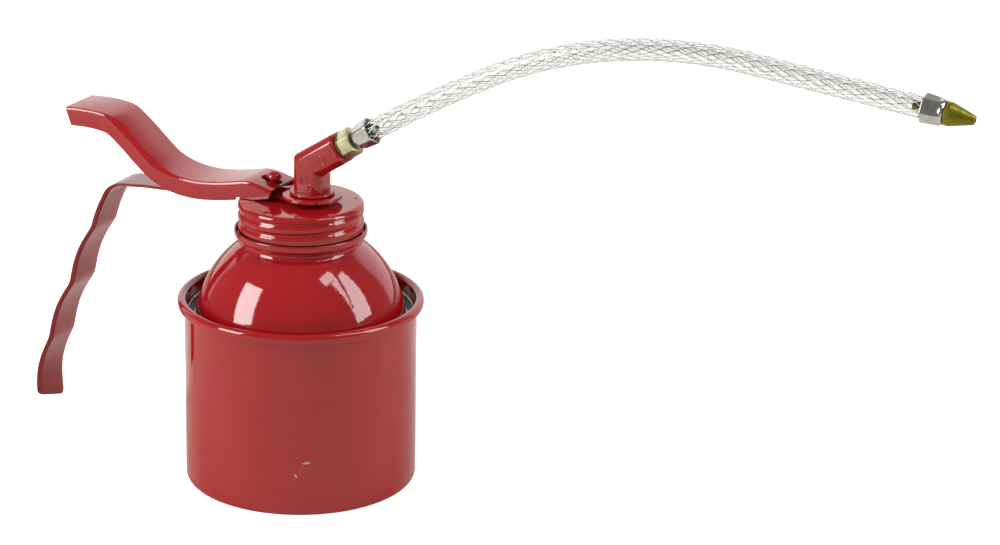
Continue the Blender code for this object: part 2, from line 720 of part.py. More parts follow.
def build_piston():
    """The piston with its ball chamber, its oil ports and the socket for the rod."""
    top = PISTON_Z + PISTON_FLANGE + PISTON_HUB
    roof = PISTON_Z + ball_rise() + BALL_RADIUS + BALL_LIFT + GAP
    outline = [(BALL_BORE, PISTON_Z), (PISTON_RADIUS, PISTON_Z), (PISTON_RADIUS, PISTON_Z + PISTON_FLANGE)]
    outline += [(PISTON_HUB_RADIUS, PISTON_Z + PISTON_FLANGE), (PISTON_HUB_RADIUS, top)]
    outline += [(ROD_HOLE, top), (ROD_HOLE, top - ROD_SOCKET), (0, top - ROD_SOCKET)]
    outline += [(0, roof), (BALL_BORE, roof)]
    piston = turned("piston", outline, brass("piston"), axis=PUMP_AXIS)
    reach = PISTON_HUB_RADIUS + OVERRUN
    port_z = roof - PORT_RADIUS
    place = PUMP_AXIS + Vector((0, 0, port_z))
    turn = Matrix.Rotation(QUARTER_TURN, 4, "X")
    cut(piston, round_tool("piston_port", PORT_RADIUS, -reach, reach, place, turn))
    return piston


def build_piston_seal():
    """The rubber cup that seals the piston in the barrel."""
    top = PISTON_Z - GAP
    bore = PISTON_HUB_RADIUS
    lip = top - SEAL_CUP_HEIGHT
    outer = PISTON_RADIUS
    outline = [(bore, top), (bore, lip + SEAL_CUP_WALL), (bore + SEAL_CUP_WALL, lip + SEAL_CUP_WALL)]
    outline += [(bore + SEAL_CUP_WALL, top - SEAL_CUP_WALL), (outer - SEAL_CUP_WALL, top - SEAL_CUP_WALL)]
    outline += [(outer - SEAL_CUP_WALL, lip + SEAL_CUP_WALL), (outer, lip + SEAL_CUP_WALL), (outer, top)]
    return turned("piston_seal", outline, black_rubber("piston"), axis=PUMP_AXIS)


def build_piston_seat():
    """The hollow screw that holds the cup seal and carries the piston ball's seat."""
    top = PISTON_Z - GAP
    shank = PISTON_HUB_RADIUS - GAP
    flange_top = top - SEAL_CUP_HEIGHT + SEAL_CUP_WALL - GAP
    low = flange_top - SEAT_FLANGE
    wide = shank + SEAT_WALL
    outline = [(VALVE_HOLE, low), (wide, low), (wide, flange_top), (shank, flange_top)]
    outline += [(shank, top), (VALVE_HOLE, top)]
    return turned("piston_seat", outline, brass("piston_seat"), axis=PUMP_AXIS)


def build_rod():
    """The pump rod with the round head that the lever lifts."""
    low = PISTON_Z + PISTON_FLANGE + PISTON_HUB - ROD_SOCKET + GAP
    head_z = head_height()
    start = -math.acos(ROD_RADIUS / HEAD_RADIUS)
    outline = [(0, low), (ROD_RADIUS, low)]
    outline += arc(0, head_z, HEAD_RADIUS, start, QUARTER_TURN, 2 * CORNER_STEPS)
    return turned("pump_rod", outline, red_enamel("rod"), axis=PUMP_AXIS)


def build_spring():
    """The return spring between the block and the piston."""
    low = PISTON_Z + PISTON_FLANGE + GAP + SPRING_WIRE
    high = CHAMBER_TOP_Z - GAP - SPRING_WIRE
    radius = (PISTON_HUB_RADIUS + BARREL_BORE) / 2
    count = SPRING_TURNS * SPRING_POINTS
    line = bpy.data.curves.new("return_spring", "CURVE")
    line.dimensions = "3D"
    line.bevel_depth = SPRING_WIRE
    line.bevel_resolution = 1
    line.use_fill_caps = True
    spline = line.splines.new("POLY")
    spline.points.add(count)
    for at in range(count + 1):
        angle = FULL_TURN * at / SPRING_POINTS
        height = low + (high - low) * at / count
        spline.points[at].co = (radius * math.cos(angle), radius * math.sin(angle), height, 1)
    line.materials.append(bare_steel("spring"))
    made = bpy.data.objects.new("return_spring", line)
    made.location = PUMP_AXIS
    bpy.context.scene.collection.objects.link(made)
    print(f"return_spring: least gap between its turns {(high - low) / SPRING_TURNS - 2 * SPRING_WIRE:.5f} m")
    return made


def lever_line():
    """The lever's top line in the XZ plane, from its inner end outwards."""
    points = []
    for reach, rise in LEVER_TOP_SHARES:
        points.append((-LEVER_START - LEVER_REACH * reach, CAP_TOP_Z + LEVER_RISE * rise))
    return smooth_line(points)


def head_height():
    """Height of the rod head's centre, where it just clears the edges of the lever's slot."""
    line = lever_line()
    for first, second in zip(line, line[1:]):
        if second.x <= -PUMP_OFFSET <= first.x:
            share = (first.x + PUMP_OFFSET) / (first.x - second.x)
            top = first.y + (second.y - first.y) * share
            slope = math.atan2(second.y - first.y, first.x - second.x)
            seat = math.sqrt((HEAD_RADIUS + GAP) ** 2 - SLOT_RADIUS**2)
            return top + seat / math.cos(slope)
    return CAP_TOP_Z + LEVER_RISE


def strap_line():
    """The strap's middle line and half widths, from its eye, over the shoulder and down to its tail."""
    middle_z = STRAP_Z + STRAP_SHEET / 2
    stations = []
    for step in range(1, CORNER_STEPS + 1):
        angle = QUARTER_TURN * step / CORNER_STEPS
        reach = RISER_OFFSET + TONGUE_HALF_WIDTH * math.cos(angle)
        stations.append((Vector((reach, middle_z)), TONGUE_HALF_WIDTH * math.sin(angle)))
    tongue = [(-STRAP_REACH * out, middle_z - STRAP_STEP_DOWN * down) for out, down in TONGUE_SHARES]
    for point in smooth_line(tongue)[1:]:
        share = max(0.0, (-STRAP_TAPER_START - point.x) / (STRAP_REACH - STRAP_TAPER_START))
        width = TONGUE_HALF_WIDTH + (STRAP_HALF_WIDTH - TONGUE_HALF_WIDTH) * share
        stations.append((point, width))
    start = stations[-1][0]
    turn = 2 * CORNER_STEPS
    for step in range(1, turn + 1):
        angle = (QUARTER_TURN - HAND_LEAN) * step / turn
        point = start + SHOULDER_RADIUS * Vector((-math.sin(angle), math.cos(angle) - 1))
        stations.append((point, STRAP_HALF_WIDTH))
    bays = [(HAND_START, HAND_LEAN, RIDGE_DEPTH / 4, 1.0)]
    bays += [(RIDGE_PITCH, HAND_LEAN, RIDGE_DEPTH, 1.0)] * (RIDGE_COUNT - 1)
    bays += [(TAIL_RUN, TAIL_LEAN, TAIL_DEPTH, TAIL_SHARE)]
    for run, lean, depth, cut in bays:
        start = stations[-1][0]
        way = Vector((-math.sin(lean), -math.cos(lean)))
        out = Vector((-math.cos(lean), math.sin(lean)))
        for step in range(1, turn + 1):
            share = cut * step / turn
            point = start + way * run * share + out * depth * math.sin(math.pi * share)
            stations.append((point, STRAP_HALF_WIDTH))
    way = (stations[-1][0] - stations[-2][0]).normalized()
    start = stations[-1][0]
    for step in range(1, CORNER_STEPS + 1):
        angle = QUARTER_TURN * step / CORNER_STEPS
        width = STRAP_HALF_WIDTH - TAIL_CORNER * (1 - math.cos(angle))
        stations.append((start + way * TAIL_CORNER * math.sin(angle), width))
    return stations


def build_strap():
    """The pressed grip strap, clamped on the cap by its eye."""
    stations = strap_line()
    lean = normals([point for point, width in stations])
    half = STRAP_SHEET / 2
    sections = []
    for (point, width), out in zip(stations, lean):
        above, below = point + out * half, point - out * half
        sections.append([
            (above.x, -width, above.y), (above.x, width, above.y),
            (below.x, width, below.y), (below.x, -width, below.y),
        ])
    strap = swept("grip_strap", sections, red_enamel("strap"))
    low, high = STRAP_Z - OVERRUN / 5, STRAP_TOP_Z + OVERRUN
    cut(strap, round_tool("strap_riser_hole", SHANK_HOLE, low, high, RISER_AXIS))
    cut(strap, round_tool("strap_rod_hole", ROD_HOLE, low, high, PUMP_AXIS))
    return strap


def build_lever():
    """The pressed channel lever, which rocks on the cap's edge and lifts the rod."""
    line = lever_line()
    wide, sheet, fold = LEVER_HALF_WIDTH, LEVER_SHEET, LEVER_FOLD
    right = [
        (wide - fold, 0), (wide, fold), (wide, LEVER_FLANGE),
        (wide - sheet, LEVER_FLANGE), (wide - sheet, fold), (wide - fold, sheet),
    ]
    section = right + [(-across, deep) for across, deep in reversed(right)]
    sections = []
    for point, down in zip(line, normals(line)):
        sections.append([
            (point.x + down.x * deep, across, point.y + down.y * deep) for across, deep in section
        ])
    lever = swept("pump_lever", sections, red_enamel("lever"), LEVER_PIVOT)
    reach = LEVER_HALF_WIDTH + OVERRUN
    floor = CAP_TOP_Z + GAP
    toe_low = (-TOE_END - TOE_RELIEF, -reach, floor - LEVER_FLANGE)
    cut(lever, box_tool("toe_floor", toe_low, (OVERRUN, reach, floor)))
    web_z = line[0].y - LEVER_FOLD - sheet
    corner = [(-TOE_START, floor - OVERRUN), (0, floor - OVERRUN), (0, web_z)]
    corner += [(-LEVER_START - 2 * OVERRUN, web_z), (-TOE_START, floor)]
    wedge = bmesh.new()
    near = [wedge.verts.new((x, -reach, z)) for x, z in corner]
    face = wedge.faces.new(near)
    grown = bmesh.ops.extrude_face_region(wedge, geom=[face])
    far = [item for item in grown["geom"] if isinstance(item, bmesh.types.BMVert)]
    bmesh.ops.translate(wedge, verts=far, vec=(0, 2 * reach, 0))
    cut(lever, cutter("toe_corner", wedge))
    top = CAP_TOP_Z + LEVER_RISE
    slot_low, slot_high = CAP_TOP_Z + 2 * GAP, top
    keyhole = Vector((-KEYHOLE_PLACE, 0, 0))
    slot_end = Vector((-SLOT_PLACE, 0, 0))
    cut(lever, round_tool("keyhole", KEYHOLE_RADIUS, slot_low, slot_high, keyhole))
    cut(lever, round_tool("slot_end", SLOT_RADIUS, slot_low, slot_high, slot_end))
    low = (-KEYHOLE_PLACE, -SLOT_RADIUS, slot_low)
    cut(lever, box_tool("slot", low, (-SLOT_PLACE, SLOT_RADIUS, slot_high)))
    return lever


def build_washer():
    """The thick washer that clamps the strap's eye."""
    outline = ring(SHANK_HOLE, WASHER_RADIUS, WASHER_Z, WASHER_Z + WASHER_HEIGHT)
    return turned("clamp_washer", outline, red_enamel("washer"), LARGE_STEPS // 2, RISER_AXIS)


def octagon():
    """Corners of the elbow's chamfered square, as places right of its axis and across it."""
    flat = ELBOW_HALF - ELBOW_CHAMFER
    quarter = [(ELBOW_HALF, -flat), (ELBOW_HALF, flat), (flat, ELBOW_HALF), (-flat, ELBOW_HALF)]
    return quarter + [(-right, -across) for right, across in quarter]


def build_elbow():
    """The die-cast elbow with its foot flange and threaded shank."""
    end = CROSSING + ARM_WAY * ARM_LENGTH
    side = Vector((math.sin(ARM_ANGLE), 0, -math.cos(ARM_ANGLE)))
    mitre = (Vector((1, 0, 0)) + side) / (1 + math.sin(ARM_ANGLE))
    foot = Vector((RISER_OFFSET, 0, ELBOW_Z - FLANGE_HEIGHT / 2))
    sections = []
    for centre, right in ((foot, Vector((1, 0, 0))), (CROSSING, mitre), (end, side)):
        sections.append([centre + right * out + Vector((0, across, 0)) for out, across in octagon()])
    elbow = swept("spout_elbow", sections, red_enamel("elbow"))
    shank_z = FLANGE_Z - SHANK_LENGTH
    outline = [(0, shank_z), (SHANK_RADIUS, shank_z), (SHANK_RADIUS, FLANGE_Z), (FLANGE_RADIUS, FLANGE_Z)]
    outline += [(FLANGE_RADIUS, ELBOW_Z), (0, ELBOW_Z)]
    foot_shape = spun(outline, LARGE_STEPS // 2)
    foot_shape.transform(Matrix.Translation(RISER_AXIS))
    base = cutter("elbow_foot", foot_shape)
    joined = elbow.modifiers.new("join_foot", "BOOLEAN")
    joined.operation = "UNION"
    joined.solver = "EXACT"
    joined.object = base
    cut(elbow, round_tool("riser_way", BORE_RADIUS, shank_z - OVERRUN, CROSSING_Z, RISER_AXIS))
    lean = Matrix.Rotation(QUARTER_TURN - ARM_ANGLE, 4, "Y")
    over = ARM_LENGTH + OVERRUN
    thread_low = ARM_LENGTH - NIPPLE_THREAD_LENGTH
    thread = NIPPLE_THREAD + GAP
    stepped = [(0, -BORE_RADIUS / 2), (BORE_RADIUS, -BORE_RADIUS / 2), (BORE_RADIUS, thread_low)]
    stepped += [(thread, thread_low), (thread, over), (0, over)]
    arm_way = spun(stepped, SMALL_STEPS)
    arm_way.transform(Matrix.Translation(CROSSING) @ lean)
    cut(elbow, cutter("arm_way", arm_way))
    return elbow


def press_flats(shape, low, high, least_radius, sides, phase):
    """Press flats into the round part of a turned piece, with its corners left at full radius."""
    half = math.pi / sides
    for vert in shape.verts:
        radius = math.hypot(vert.co.x, vert.co.y)
        if radius < least_radius or not low <= vert.co.z <= high:
            continue
        away = (math.atan2(vert.co.y, vert.co.x) - phase) % (2 * half) - half
        pressed = math.cos(half) / math.cos(away)
        vert.co.x *= pressed
        vert.co.y *= pressed


def build_nipple_washer():
    """The fibre washer between the nipple's hex and the elbow."""
    start = ARM_LENGTH + GAP
    outline = ring(NIPPLE_THREAD + GAP, HEX_CORNER * math.cos(math.pi / HEX_SIDES), 0, NIPPLE_WASHER)
    lay = along(CROSSING + ARM_WAY * start, ARM_ANGLE)
    return turned("nipple_washer", outline, fibre("nipple"), POLYGON_STEPS, lay=lay)


def barb(length):
    """Outline of a ridged hose barb that points down from height 0, with its bore left out."""
    pitch = length / (BARB_RIDGES + 1)
    points = []
    for at in range(BARB_RIDGES, 0, -1):
        points += [(BARB_RADIUS, -pitch * at), (BARB_RADIUS - BARB_RIDGE, -pitch * at)]
    return [(BARB_RADIUS - BARB_RIDGE, -length)] + points


def build_nipple():
    """The hex nipple: a thread into the elbow, a hexagon and a barb for the hose."""
    start = ARM_LENGTH + NIPPLE_WASHER + 2 * GAP
    bore = BORE_RADIUS - 2 * BARB_RIDGE - GAP
    thread = NIPPLE_THREAD_LENGTH - GAP
    chamfer = HEX_LENGTH / 8
    outline = [(bore, -thread), (NIPPLE_THREAD, -thread), (NIPPLE_THREAD, 0)]
    outline += [(HEX_CORNER - chamfer, 0), (HEX_CORNER, chamfer)]
    outline += [(HEX_CORNER, HEX_LENGTH - chamfer), (HEX_CORNER - chamfer, HEX_LENGTH)]
    outline += [(BARB_RADIUS - BARB_RIDGE, HEX_LENGTH)]
    outline += [(radius, HEX_LENGTH - height) for radius, height in reversed(barb(BARB_LENGTH))]
    outline += [(bore, HEX_LENGTH + BARB_LENGTH)]
    shape = spun(outline, POLYGON_STEPS)
    flat_above = NIPPLE_THREAD + OVERRUN / 2
    press_flats(shape, -OVERRUN / 10, HEX_LENGTH + OVERRUN / 10, flat_above, HEX_SIDES, math.pi / HEX_SIDES)
    lay = along(CROSSING + ARM_WAY * start, ARM_ANGLE)
    shape.transform(lay)
    return finish("spout_nipple", shape, yellow_zinc("nipple"), lay.translation)


def build_ferrule(name, lay):
    """A crimped ferrule, small end at 0 and hose end at its length, laid in place."""
    bore = HOSE_RADIUS + GAP
    end = FERRULE_LENGTH
    wall_end = FERRULE_NECK
    lip = FERRULE_NECK / 3
    outline = [(BARB_RADIUS + GAP, 0), (FERRULE_SMALL, 0), (FERRULE_SMALL, FERRULE_NECK - lip)]
    outline += [(FERRULE_STEP, FERRULE_NECK + lip), (FERRULE_LARGE, end - lip), (FERRULE_LARGE - lip, end)]
    outline += [(bore, end), (bore, wall_end), (BARB_RADIUS + GAP, wall_end)]
    shape = spun(outline, POLYGON_STEPS)
    press_flats(shape, FERRULE_NECK, end + OVERRUN, bore + GAP, HEX_SIDES, 0)
    shape.transform(lay)
    return finish(name, shape, nickel(name), lay.translation)


def ferrule_start():
    """Distance along the elbow's arm to the root ferrule."""
    return ARM_LENGTH + NIPPLE_WASHER + HEX_LENGTH + 3 * GAP


def hose_place(distance):
    """Place and heading of the hose's middle line at a distance from its root."""
    point = CROSSING + ARM_WAY * (ferrule_start() + FERRULE_NECK + GAP)
    bends = (
        (RISE_BEND, COURSE_START, RISE_HEADING), (CROWN_BEND, RISE_HEADING, CROWN_HEADING),
        (TIP_RUN, CROWN_HEADING, CROWN_HEADING),
    )
    heading = COURSE_START
    for length, start, end in bends:
        run = min(distance, length)
        heading = start + (end - start) * run / length
        middle = (start + heading) / 2
        half = (heading - start) / 2
        chord = run * (math.sin(half) / half if half else 1.0)
        point = point + chord * Vector((math.cos(middle), 0, math.sin(middle)))
        distance -= run
        if distance <= 0:
            break
    return point, heading


def hose_length():
    """Length of the hose along its middle line."""
    return RISE_BEND + CROWN_BEND + TIP_RUN


def bored_tube(name, stations, paint, origin=None):
    """A bored tube over stations of point, heading, outer radius and bore radius."""
    shape = bmesh.new()
    rows = []
    for point, heading, outer, inner in stations:
        up = Vector((-math.sin(heading), 0, math.cos(heading)))
        rings = []
        for radius in (outer, inner):
            verts = []
            for side in range(TUBE_SIDES):
                angle = FULL_TURN * side / TUBE_SIDES
                verts.append(shape.verts.new(
                    point + radius * (up * math.cos(angle) + Vector((0, math.sin(angle), 0)))
                ))
            rings.append(verts)
        rows.append(rings)
    for first, second in zip(rows, rows[1:]):
        for at in range(TUBE_SIDES):
            shape.faces.new((first[0][at - 1], first[0][at], second[0][at], second[0][at - 1]))
            shape.faces.new((first[1][at], first[1][at - 1], second[1][at - 1], second[1][at]))
    for outer, inner in (rows[0], rows[-1]):
        for at in range(TUBE_SIDES):
            shape.faces.new((outer[at - 1], outer[at], inner[at], inner[at - 1]))
    return finish(name, shape, paint, origin)


def build_hose():
    """The flexible hose in two pieces, which meet as ball and socket where the spout bends."""
    length = hose_length()
    pivot_at = length * HOSE_PIVOT_SHARE
    pivot, pivot_heading = hose_place(pivot_at)
    way = Vector((math.cos(pivot_heading), 0, math.sin(pivot_heading)))
    socket = HOSE_RADIUS + GAP
    count = round(pivot_at / HOSE_STATION)
    root = [(*hose_place(pivot_at * at / count), HOSE_RADIUS, HOSE_BORE) for at in range(count)]
    for share in BALL_SHARES:
        past = HOSE_RADIUS * share
        outer = math.sqrt(HOSE_RADIUS**2 - past**2)
        root.append((pivot + way * past, pivot_heading, outer, HOSE_BORE))
    hose_root = bored_tube("hose_root", root, clear_pvc("root"))
    tip = []
    for share in SOCKET_SHARES:
        past = HOSE_RADIUS * share
        inner = max(HOSE_BORE, math.sqrt(socket**2 - past**2))
        tip.append((pivot + way * past, pivot_heading, HOSE_RADIUS, inner))
    rest = length - pivot_at
    count = round(rest / HOSE_STATION)
    for at in range(1, count + 1):
        tip.append((*hose_place(pivot_at + rest * at / count), HOSE_RADIUS, HOSE_BORE))
    return hose_root, bored_tube("hose_tip", tip, clear_pvc("tip"), pivot), pivot


def build_nozzle(place, heading):
    """The brass nozzle with its barb in the hose."""
    start = GAP
    outline = [(NOZZLE_BORE, -BARB_LENGTH + start)]
    outline += [(radius, height + start) for radius, height in barb(BARB_LENGTH)]
    outline += [(BARB_RADIUS - BARB_RIDGE, start), (NOZZLE_RADIUS, start)]
    outline += [(NOZZLE_RADIUS, NOZZLE_COLLAR), (NOZZLE_TIP + NOZZLE_BORE, NOZZLE_LENGTH - NOZZLE_BORE)]
    outline += [(NOZZLE_TIP, NOZZLE_LENGTH), (NOZZLE_BORE, NOZZLE_LENGTH)]
    return turned("spout_nozzle", outline, brass("nozzle"), POLYGON_STEPS, lay=along(place, heading))


def hang(name, place, pieces):
    """Hang the pieces of one moving body on an empty on its joint's axis."""
    axis = bpy.data.objects.new(name, None)
    axis.location = place
    axis.empty_display_size = BLOCK_HEIGHT
    bpy.context.scene.collection.objects.link(axis)
    for piece in pieces:
        piece.parent = axis
        piece.matrix_parent_inverse = Matrix.Translation(-place)
    return axis


def main():
    """Build every piece in its place and hang each moving body on its axis."""
    build_cup()
    build_dome()
    build_seam()
    build_neck()
    head = [
        build_cap(), build_block_gasket(), build_block(), build_rod_seal(), build_rod_bush(),
        build_barrel(), build_foot_valve(), build_suction_tube(), build_strainer(), build_strap(),
        build_washer(), build_elbow(), build_nipple_washer(), build_nipple(),
    ]
    root_lay = along(CROSSING + ARM_WAY * ferrule_start(), ARM_ANGLE)
    head.append(build_ferrule("root_ferrule", root_lay))
    hose_root, hose_tip, pivot = build_hose()
    head.append(hose_root)
    hang("cap_turn_axis", Vector((0, 0, CAP_BOTTOM_Z)), [*head, build_neck_gasket()])
    hang("lever_squeeze_axis", LEVER_PIVOT, [build_lever()])
    piston_ball = build_ball("piston_ball", PISTON_Z - GAP + ball_rise())
    rod = [build_rod(), build_piston(), build_piston_seal(), build_piston_seat(), build_spring()]
    hang("rod_lift_axis", PUMP_AXIS, [*rod, piston_ball])
    hang("inlet_ball_axis", PUMP_AXIS, [build_ball("inlet_ball", BARREL_Z + FOOT_SEAT + ball_rise())])
    end, heading = hose_place(hose_length())
    way = Vector((math.cos(heading), 0, math.sin(heading)))
    crimp_end = end + way * (GAP + FERRULE_NECK)
    tip_ferrule = build_ferrule("tip_ferrule", along(crimp_end, heading + math.pi))
    hang("spout_bend_axis", pivot, [hose_tip, tip_ferrule, build_nozzle(crimp_end, heading)])
    print("lever pivot", [round(value, 5) for value in LEVER_PIVOT])
    print("spout pivot", [round(value, 5) for value in pivot])
    print("spring top", round(CHAMBER_TOP_Z - GAP, 5))


main()
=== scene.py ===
"""Studio scene of a pump oil can with a clear braided spout.

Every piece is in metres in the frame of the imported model: +Z up, the spout towards +X.
"""

import logging
import math
from collections.abc import Callable, Sequence
from dataclasses import dataclass, field
from enum import Enum

import bmesh
import bpy
from mathutils import Matrix, Quaternion, Vector


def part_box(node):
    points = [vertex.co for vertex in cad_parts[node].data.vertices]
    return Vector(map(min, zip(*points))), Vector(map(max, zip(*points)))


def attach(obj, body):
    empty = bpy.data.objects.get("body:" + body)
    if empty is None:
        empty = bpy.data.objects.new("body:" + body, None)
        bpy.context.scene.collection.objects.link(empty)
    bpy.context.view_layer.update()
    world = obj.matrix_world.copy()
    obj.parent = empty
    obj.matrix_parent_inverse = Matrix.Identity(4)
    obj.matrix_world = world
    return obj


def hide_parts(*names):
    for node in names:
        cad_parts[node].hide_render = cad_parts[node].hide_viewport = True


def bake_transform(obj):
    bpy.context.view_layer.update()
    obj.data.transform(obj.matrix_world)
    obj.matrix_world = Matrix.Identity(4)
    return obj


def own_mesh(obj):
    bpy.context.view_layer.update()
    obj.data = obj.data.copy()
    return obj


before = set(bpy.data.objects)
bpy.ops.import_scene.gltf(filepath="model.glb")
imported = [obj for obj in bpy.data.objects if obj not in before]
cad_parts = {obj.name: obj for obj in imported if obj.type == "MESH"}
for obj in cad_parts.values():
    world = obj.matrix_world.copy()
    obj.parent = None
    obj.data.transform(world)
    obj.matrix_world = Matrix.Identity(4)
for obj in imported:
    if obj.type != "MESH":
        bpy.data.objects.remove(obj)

LOG = logging.getLogger("oil_can")

MM = 0.001
GAP = 0.3 * MM
MERGE = 0.001 * MM
FULL = 2.0 * math.pi
QUARTER = 0.5 * math.pi
CAP_TOP = 110.05 * MM
ENAMEL_IOR = 1.55
PVC_IOR = 1.42
# Name of the attribute that carries the yarn's painted shade.
INNER_SHADE = "inner_shade"

Point = tuple[float, float]
Place = Callable[[float, float], Vector]
Station = tuple[Vector, Vector, float]
Value = bpy.types.NodeSocket | float | tuple


class Body(str, Enum):
    """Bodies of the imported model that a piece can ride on."""

    CAN = "can"
    GASKET = "gasket"
    HEAD = "head"
    LEVER = "lever"
    ROD = "rod"
    PISTON_VALVE = "piston_valve"
    INLET_VALVE = "inlet_valve"
    SPOUT_TIP = "spout_tip"


# ---------------------------------------------------------------- colours and node graphs


def srgb(code: str) -> tuple[float, float, float, float]:
    """Turn a hex sRGB colour into linear values.

    Args:
        code: Colour as "#rrggbb".

    Returns:
        Linear red, green and blue with an alpha of 1.
    """
    def channel(value: int) -> float:
        """Linear value of one channel."""
        part = value / 255.0
        return part / 12.92 if part <= 0.04045 else ((part + 0.055) / 1.055) ** 2.4

    digits = code.lstrip("#")
    red, green, blue = (channel(int(digits[at:at + 2], 16)) for at in (0, 2, 4))
    return red, green, blue, 1.0


def add_node(tree: bpy.types.NodeTree, kind: str, inputs: dict | None = None, **settings) -> bpy.types.Node:
    """Add one node to a tree.

    Args:
        tree: Tree that takes the node.
        kind: Blender's name of the node type.
        inputs: Socket name or number to a plain value, or to a socket to link from.
        **settings: Properties of the node.

    Returns:
        The new node.
    """
    made = tree.nodes.new(kind)
    for key, value in settings.items():
        setattr(made, key, value)
    for key, value in (inputs or {}).items():
        if isinstance(value, bpy.types.NodeSocket):
            tree.links.new(value, made.inputs[key])
        else:
            made.inputs[key].default_value = value
    return made


def ramp(tree: bpy.types.NodeTree, factor: Value, low: float, high: float) -> bpy.types.NodeSocket:
    """A clamped straight ramp from 0 at low to 1 at high."""
    node = add_node(tree, "ShaderNodeMapRange", {"Value": factor, "From Min": low, "From Max": high})
    return node.outputs["Result"]


def calc(tree: bpy.types.NodeTree, kind: str, *values: Value) -> bpy.types.NodeSocket:
    """One math node on sockets or numbers."""
    return add_node(tree, "ShaderNodeMath", dict(enumerate(values)), operation=kind).outputs[0]


def mix(tree: bpy.types.NodeTree, factor: Value, first: Value, second: Value) -> bpy.types.NodeSocket:
    """Mix two colours, each a socket or plain values."""
    return add_node(tree, "ShaderNodeMix", {0: factor, 6: first, 7: second}, data_type="RGBA").outputs[2]


@dataclass(frozen=True)
class Finish:
    """Numbers that make one surface finish.

    Attributes:
        colour: Main sRGB colour.
        shade: Second sRGB colour, mixed in as soft blotches.
        metallic: Metallic value.
        rough: Least and most roughness.
        sizes: Size of the blotches, size of the fine bump and its height, in millimetres.
        stretch: Factor that draws the grain out along Z, for brushed or drawn marks.
    """

    colour: str
    shade: str
    metallic: float
    rough: tuple[float, float]
    sizes: tuple[float, float, float]
    stretch: float = 1.0


@dataclass(frozen=True)
class Scuff:
    """A small knock in the enamel, in millimetres and degrees.

    Attributes:
        centre: Its place.
        length: Half its length.
        width: Half its height.
        facing: Turn of the surface about Z, where 0 faces -Y.
        tilt: Its own turn on the surface.
    """

    centre: tuple[float, float, float]
    length: float
    width: float
    facing: float
    tilt: float


class Surface:
    """A material built from noise in object space on one Principled shader."""

    def __init__(self, name: str, finish: Finish) -> None:
        """Build the shared part of the graph.

        Args:
            name: Name of the material.
            finish: The finish's numbers.
        """
        self.material = bpy.data.materials.new(name)
        self.material.use_nodes = True
        self.tree = self.material.node_tree
        self.shader = self.tree.nodes["Principled BSDF"]
        self.space = add_node(self.tree, "ShaderNodeTexCoord").outputs["Object"]
        blotch, grain, self.relief = (size * MM for size in finish.sizes)
        blotches = self.noise(blotch, 3.0)
        self.colour = self.mix(ramp(self.tree, blotches, 0.35, 0.68), srgb(finish.colour), srgb(finish.shade))
        rough = add_node(self.tree, "ShaderNodeMapRange", {
            "Value": blotches, "From Min": 0.3, "From Max": 0.7,
            "To Min": finish.rough[0], "To Max": finish.rough[1],
        })
        self.rough = rough.outputs["Result"]
        self.height = self.noise(grain, 2.0, finish.stretch)
        self.shader.inputs["Metallic"].default_value = finish.metallic

    def noise(self, size: float, detail: float, stretch: float = 1.0) -> bpy.types.NodeSocket:
        """Noise with features of a real size.

        Args:
            size: Size of the features, in metres.
            detail: How many finer octaves it has.
            stretch: Factor that draws it out along Z.

        Returns:
            The noise's value.
        """
        space = self.space
        if stretch != 1.0:
            scale = (1.0, 1.0, 1.0 / stretch)
            scaled = add_node(self.tree, "ShaderNodeMapping", {"Vector": space, "Scale": scale})
            space = scaled.outputs["Vector"]
        node = add_node(self.tree, "ShaderNodeTexNoise", {
            "Vector": space, "Scale": 1.0 / size, "Detail": detail,
        })
        return node.outputs["Fac"]

    def mix(self, factor: Value, first: Value, second: Value) -> bpy.types.NodeSocket:
        """Mix two colours in this material."""
        return mix(self.tree, factor, first, second)

    def calc(self, kind: str, *values: Value) -> bpy.types.NodeSocket:
        """One math node in this material."""
        return calc(self.tree, kind, *values)

    def finish(self) -> bpy.types.Material:
        """Link the graph to the shader and give the material."""
        relief = add_node(self.tree, "ShaderNodeBump", {
            "Strength": 1.0, "Distance": self.relief, "Height": self.height,
        })
        links = {"Base Color": self.colour, "Roughness": self.rough, "Normal": relief.outputs[0]}
        for key, value in links.items():
            self.tree.links.new(value, self.shader.inputs[key])
        return self.material


